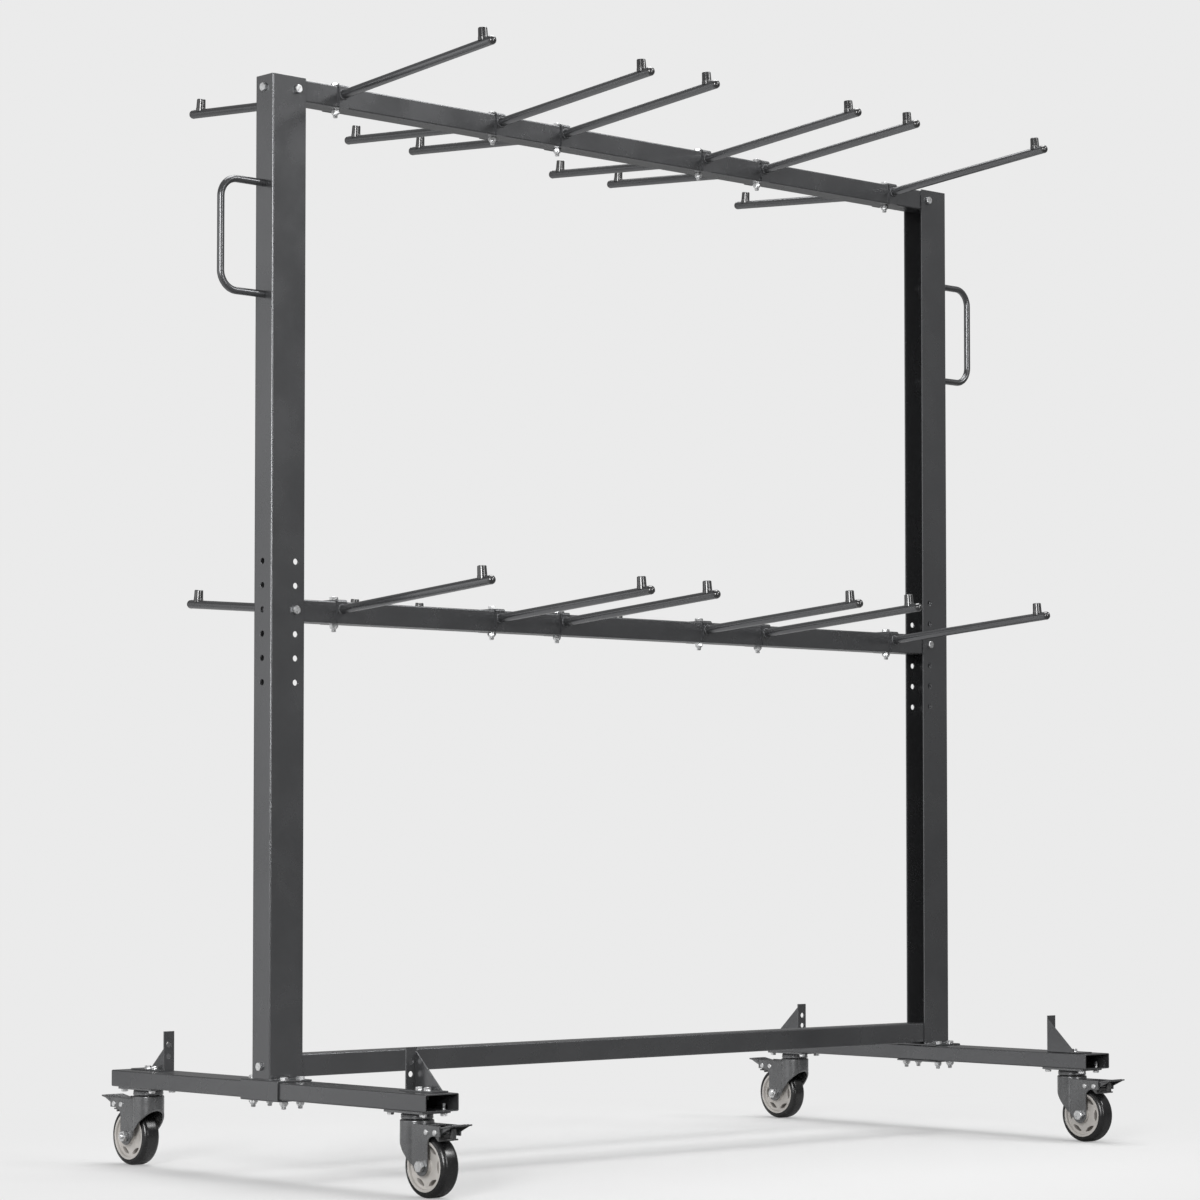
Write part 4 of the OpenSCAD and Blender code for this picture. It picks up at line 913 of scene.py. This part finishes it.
bm = newShape()
profile = [(radius * mm, level * mm) for radius, level in rivetSpec["rows"]]
addLathe(bm, profile, Matrix.Identity(4), rivetSpec["sides"])
rivetMesh = finishMesh("rivet", bm)
for corner, (sx, sy) in corners.items():
    # Top plate and swivel head
    node = corner + "_swivel_plate"
    lo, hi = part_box(node)
    middle = (lo + hi) / 2
    bm = newShape()
    w, d, r = (hi.x - lo.x) / 2, (hi.y - lo.y) / 2, plateSpec["corner"]
    outline = filleted([(-w, -d), (w, -d), (w, d), (-w, d)], [r] * 4, plateSpec["cornerSteps"])
    plateZ = hi.z - plateSpec["sheet"]
    sheetPlace = Matrix.Translation((middle.x, middle.y, (plateZ + hi.z) / 2))
    addPrism(bm, outline, sheetPlace, plateSpec["sheet"])
    bevelEdges(bm, sharpEdges(bm), plateSpec["ease"], easeSteps)
    high, low = plateZ + plateSpec["lap"], lo.z
    rows = [(0, high, 0)]
    for name, level in (("upperRows", high), ("waistRows", low + plateSpec["waist"]), ("footRows", low)):
        rows += [(plateSpec["head"] - inset * mm, level + rise * mm, soft * mm)
                 for inset, rise, soft in plateSpec[name]]
    rows.append((0, low, 0))
    profile = filleted([row[:2] for row in rows], [row[2] for row in rows], plateSpec["roundSteps"])
    addLathe(bm, profile, Matrix.Translation((middle.x, middle.y, 0)), plateSpec["sides"])
    mesh = weighted(node, finishMesh(node, bm))
    addPiece(corner + "SwivelPlate", mesh, forkPaint, "frame", [node])

    # Fork
    node = corner + "_fork"

    def onCrown(edge, x=middle.x, y=middle.y):
        level = all(abs(v.co.z - forkSpec["crownZ"]) < hair for v in edge.verts)
        reach = [math.hypot(v.co.x - x, v.co.y - y) for v in edge.verts]
        return level and all(abs(r - forkSpec["crownRadius"]) < forkSpec["crownFit"] for r in reach)

    mesh = softened(node, forkSpec["ease"], [(onCrown, forkSpec["crownBend"], bendSteps)])
    addPiece(corner + "Fork", mesh, forkPaint, corner + "_swivel", [node])

    # Axle bolt, nut and sleeve, with the bolt's head away from the hub
    node = corner + "_axle"
    centre = centreOf(corner + "_tyre")
    turn = Matrix.Rotation(math.pi if sy > 0 else 0.0, 4, "Z")
    bm = newShape()
    seat = Matrix.Translation(centre) @ turn
    headSeat = Matrix.Translation((-axleSpec["halfFork"], 0, 0)) @ Matrix.Rotation(-math.pi / 2, 4, "Y")
    length = 2 * axleSpec["halfFork"] + axleSpec["nut"] + axleSpec["head"] / 2
    addBolt(bm, seat @ headSeat, axleSpec, length)
    nutPlace = seat @ Matrix.Translation((axleSpec["halfFork"], 0, 0)) @ alongX
    addHex(bm, nutPlace, axleSpec["across"], 0, axleSpec["nut"], True)
    r, half = axleSpec["sleeve"], axleSpec["halfSleeve"]
    addLathe(bm, [(0, -half), (r, -half), (r, half), (0, half)], seat @ alongX, axleSpec["sleeveSides"])
    mesh = finishMesh(node, bm, hexSpec["sharp"])
    addPiece(corner + "Axle", mesh, zincPlate, corner + "_swivel", [node])

    # Wheel
    size = sizeOf(corner + "_tyre")
    node = corner + "_wheel_hub"
    addPiece(corner + "Hub", hubMesh(node, centre), hubPlastic, corner + "_wheel", [node])
    addPiece(corner + "Tyre", tyreMesh(corner + "Tyre", centre, size.z / 2, size.x / 2), tyreRubber,
             corner + "_wheel", [corner + "_tyre"])

    # Rivets through the cheeks of the fork
    pivot = next(Vector(j["pos_m"]) for j in frame["joints"] if j["name"] == corner + "_brake_press")
    rivetSpots = []
    for way in (-1, 1):
        for back in (0, rivetSpec["apart"]):
            seat = pivot + Vector((way * rivetSpec["cheek"], -sy * back, 0))
            rivetSpots.append((seat, Vector((way, 0, 0)), 0.0))
    mesh = repeated(corner + "Rivets", rivetMesh, rivetSpots, zincPlate)
    addPiece(corner + "Rivets", mesh, zincPlate, corner + "_swivel", [corner + "_fork"])

    # Brake pedal with grip ridges, and its pad
    node = corner + "_brake_pedal"

    def addRidges(bm, pivot=pivot, sy=sy):
        spec = pedalSpec
        slope = (spec["tipZ"] - spec["backZ"]) / (spec["back"] + spec["front"])
        r, half = spec["ridgeRadius"], spec["ridgeHalf"]
        soft = r * spec["ridgeShare"]
        profile = [(0, -half - r), (soft, -half - soft), (r, -half),
                   (r, half), (soft, half + soft), (0, half + r)]
        for k in range(spec["ridges"]):
            ahead = spec["firstRidge"] + k * spec["ridgeStep"]
            level = spec["backZ"] + (ahead + spec["back"]) * slope
            spot = pivot + Vector((0, sy * ahead, level))
            addLathe(bm, profile, Matrix.Translation(spot) @ alongX, spec["ridgeSides"])

    addPiece(corner + "BrakePedal", softened(node, pedalSpec["ease"], (), addRidges), forkPaint,
             corner + "_pedal", [node])
    node = corner + "_brake_pad"

    def addStub(bm, pivot=pivot, sy=sy):
        spec = padSpec
        r, low, high, soft = spec["stub"], spec["stubLow"], spec["stubHigh"], spec["round"]
        profile = filleted([(0, low), (r, low), (r, high), (0, high)],
                           [0, soft, soft, 0], spec["roundSteps"])
        place = Matrix.Translation(pivot + Vector((0, sy * spec["stubAhead"], 0)))
        addLathe(bm, profile, place, spec["sides"])

    addPiece(corner + "BrakePad", softened(node, padSpec["ease"], (), addStub), blackPlastic,
             corner + "_pedal", [node])
frame["nodes"]["swivel_bearings"].data.materials.clear()
frame["nodes"]["swivel_bearings"].data.materials.append(zincPlate)
print("casters made")


# One for what the camera sees directly, and zero for mirrored and bounced light
def seenDirectly(tree):
    light = addNode(tree, "ShaderNodeLightPath")
    return mathNode(tree, "MAXIMUM", light.outputs["Is Camera Ray"], light.outputs["Is Transmission Ray"])


# Floor, which fades into the background and mirrors darker in front than behind
floorSpec = {
    "radius": 30.0, "sides": 96, "drop": 0.4 * mm, "near": 0.4, "far": 1.6, "colour": 0.815, "back": 0.83,
    "bounceY": (-1.0, 1.2), "bounce": (0.2, 0.74), "drift": 0.01, "driftScale": 0.8,
    "rough": 0.9, "specular": 0.1}
bm = bmesh.new()
bmesh.ops.create_circle(bm, cap_ends=True, segments=floorSpec["sides"], radius=floorSpec["radius"],
                        matrix=Matrix.Translation((0, 0, -floorSpec["drop"])))
floor = holderFor("floor", finishMesh("floor", bm))
material = bpy.data.materials.new("floorPaper")
material.use_nodes = True
tree = material.node_tree
shader = tree.nodes["Principled BSDF"]
shader.inputs["Roughness"].default_value = floorSpec["rough"]
shader.inputs["Specular IOR Level"].default_value = floorSpec["specular"]
place = addNode(tree, "ShaderNodeTexCoord")
far = addNode(tree, "ShaderNodeVectorMath", operation="LENGTH")
tree.links.new(place.outputs["Object"], far.inputs[0])
fade = spread(tree, far.outputs["Value"], floorSpec["near"], floorSpec["far"])
seen = seenDirectly(tree)
paper = useGroup(tree, toneDrift, Amount=floorSpec["drift"], Scale=floorSpec["driftScale"])
split = addNode(tree, "ShaderNodeSeparateXYZ")
tree.links.new(place.outputs["Object"], split.inputs[0])
bounce = spread(tree, split.outputs["Y"], *floorSpec["bounceY"], *floorSpec["bounce"])
shade = spread(tree, seen, 0.0, 1.0, bounce, floorSpec["colour"])
tree.links.new(shade, paper.inputs["Colour"])
tree.links.new(paper.outputs["Colour"], shader.inputs["Base Color"])
glow = addNode(tree, "ShaderNodeEmission", {"Color": (floorSpec["back"],) * 3 + (1,), "Strength": 1.0})
blend = tree.nodes.new("ShaderNodeMixShader")
tree.links.new(mathNode(tree, "MULTIPLY", fade, seen), blend.inputs[0])
tree.links.new(shader.outputs[0], blend.inputs[1])
tree.links.new(glow.outputs[0], blend.inputs[2])
tree.links.new(blend.outputs[0], tree.nodes["Material Output"].inputs["Surface"])
floor.data.materials.append(material)

# Background, the same pale grey to the eye and softer as a light
worldLevel = 0.22
world = bpy.data.worlds.new("studio")
scene.world = world
world.use_nodes = True
tree = world.node_tree
tone = spread(tree, seenDirectly(tree), 0.0, 1.0, worldLevel, floorSpec["back"])
tree.links.new(tone, tree.nodes["Background"].inputs["Strength"])
tree.nodes["Background"].inputs["Color"].default_value = (1, 1, 1, 1)

# Soft studio lights
lampSpecs = [
    {"name": "keyLight", "at": (-5.0, 2.4, 1.5), "to": (0, 0.2, 0.9), "size": (5.0, 3.2), "power": 40},
    {"name": "edgeLight", "at": (-5.4, -3.2, 2.2), "to": (0, -0.2, 1.0), "size": (1.8, 2.8), "power": 205},
    {"name": "frontLight", "at": (0.2, -6.0, 2.1), "to": (0, 0, 1.2), "size": (1.0, 3.4), "power": 74},
    {"name": "rightLight", "at": (4.3, -5.7, 5.6), "to": (-0.4, 0, 0.6), "size": (2.4, 1.8), "power": 140},
    {"name": "topLight", "at": (0.6, 0.4, 4.6), "to": (0, 0, 0.6), "size": (3.2, 3.2), "power": 155}]
for spec in lampSpecs:
    lamp = bpy.data.lights.new(spec["name"], "AREA")
    lamp.shape = "RECTANGLE"
    lamp.size, lamp.size_y = spec["size"]
    lamp.energy = spec["power"]
    stand = bpy.data.objects.new(spec["name"], lamp)
    stand.location = spec["at"]
    stand.rotation_euler = (Vector(spec["to"]) - Vector(spec["at"])).to_track_quat("-Z", "Y").to_euler()
    scene.collection.objects.link(stand)

cameraSpec = {"at": (-4.4262, -4.7518, 0.5535), "tilt": 92.513, "turn": -42.505, "lens": 108.46,
              "sensor": 36, "shiftY": 0.07}
view = bpy.data.cameras.new("photoCamera")
view.lens = cameraSpec["lens"]
view.sensor_width = cameraSpec["sensor"]
view.shift_y = cameraSpec["shiftY"]
camera = bpy.data.objects.new("photoCamera", view)
camera.location = cameraSpec["at"]
camera.rotation_euler = (math.radians(cameraSpec["tilt"]), 0, math.radians(cameraSpec["turn"]))
scene.collection.objects.link(camera)
scene.camera = camera
scene.view_settings.view_transform = "Standard"
print("stage, lights and camera set")
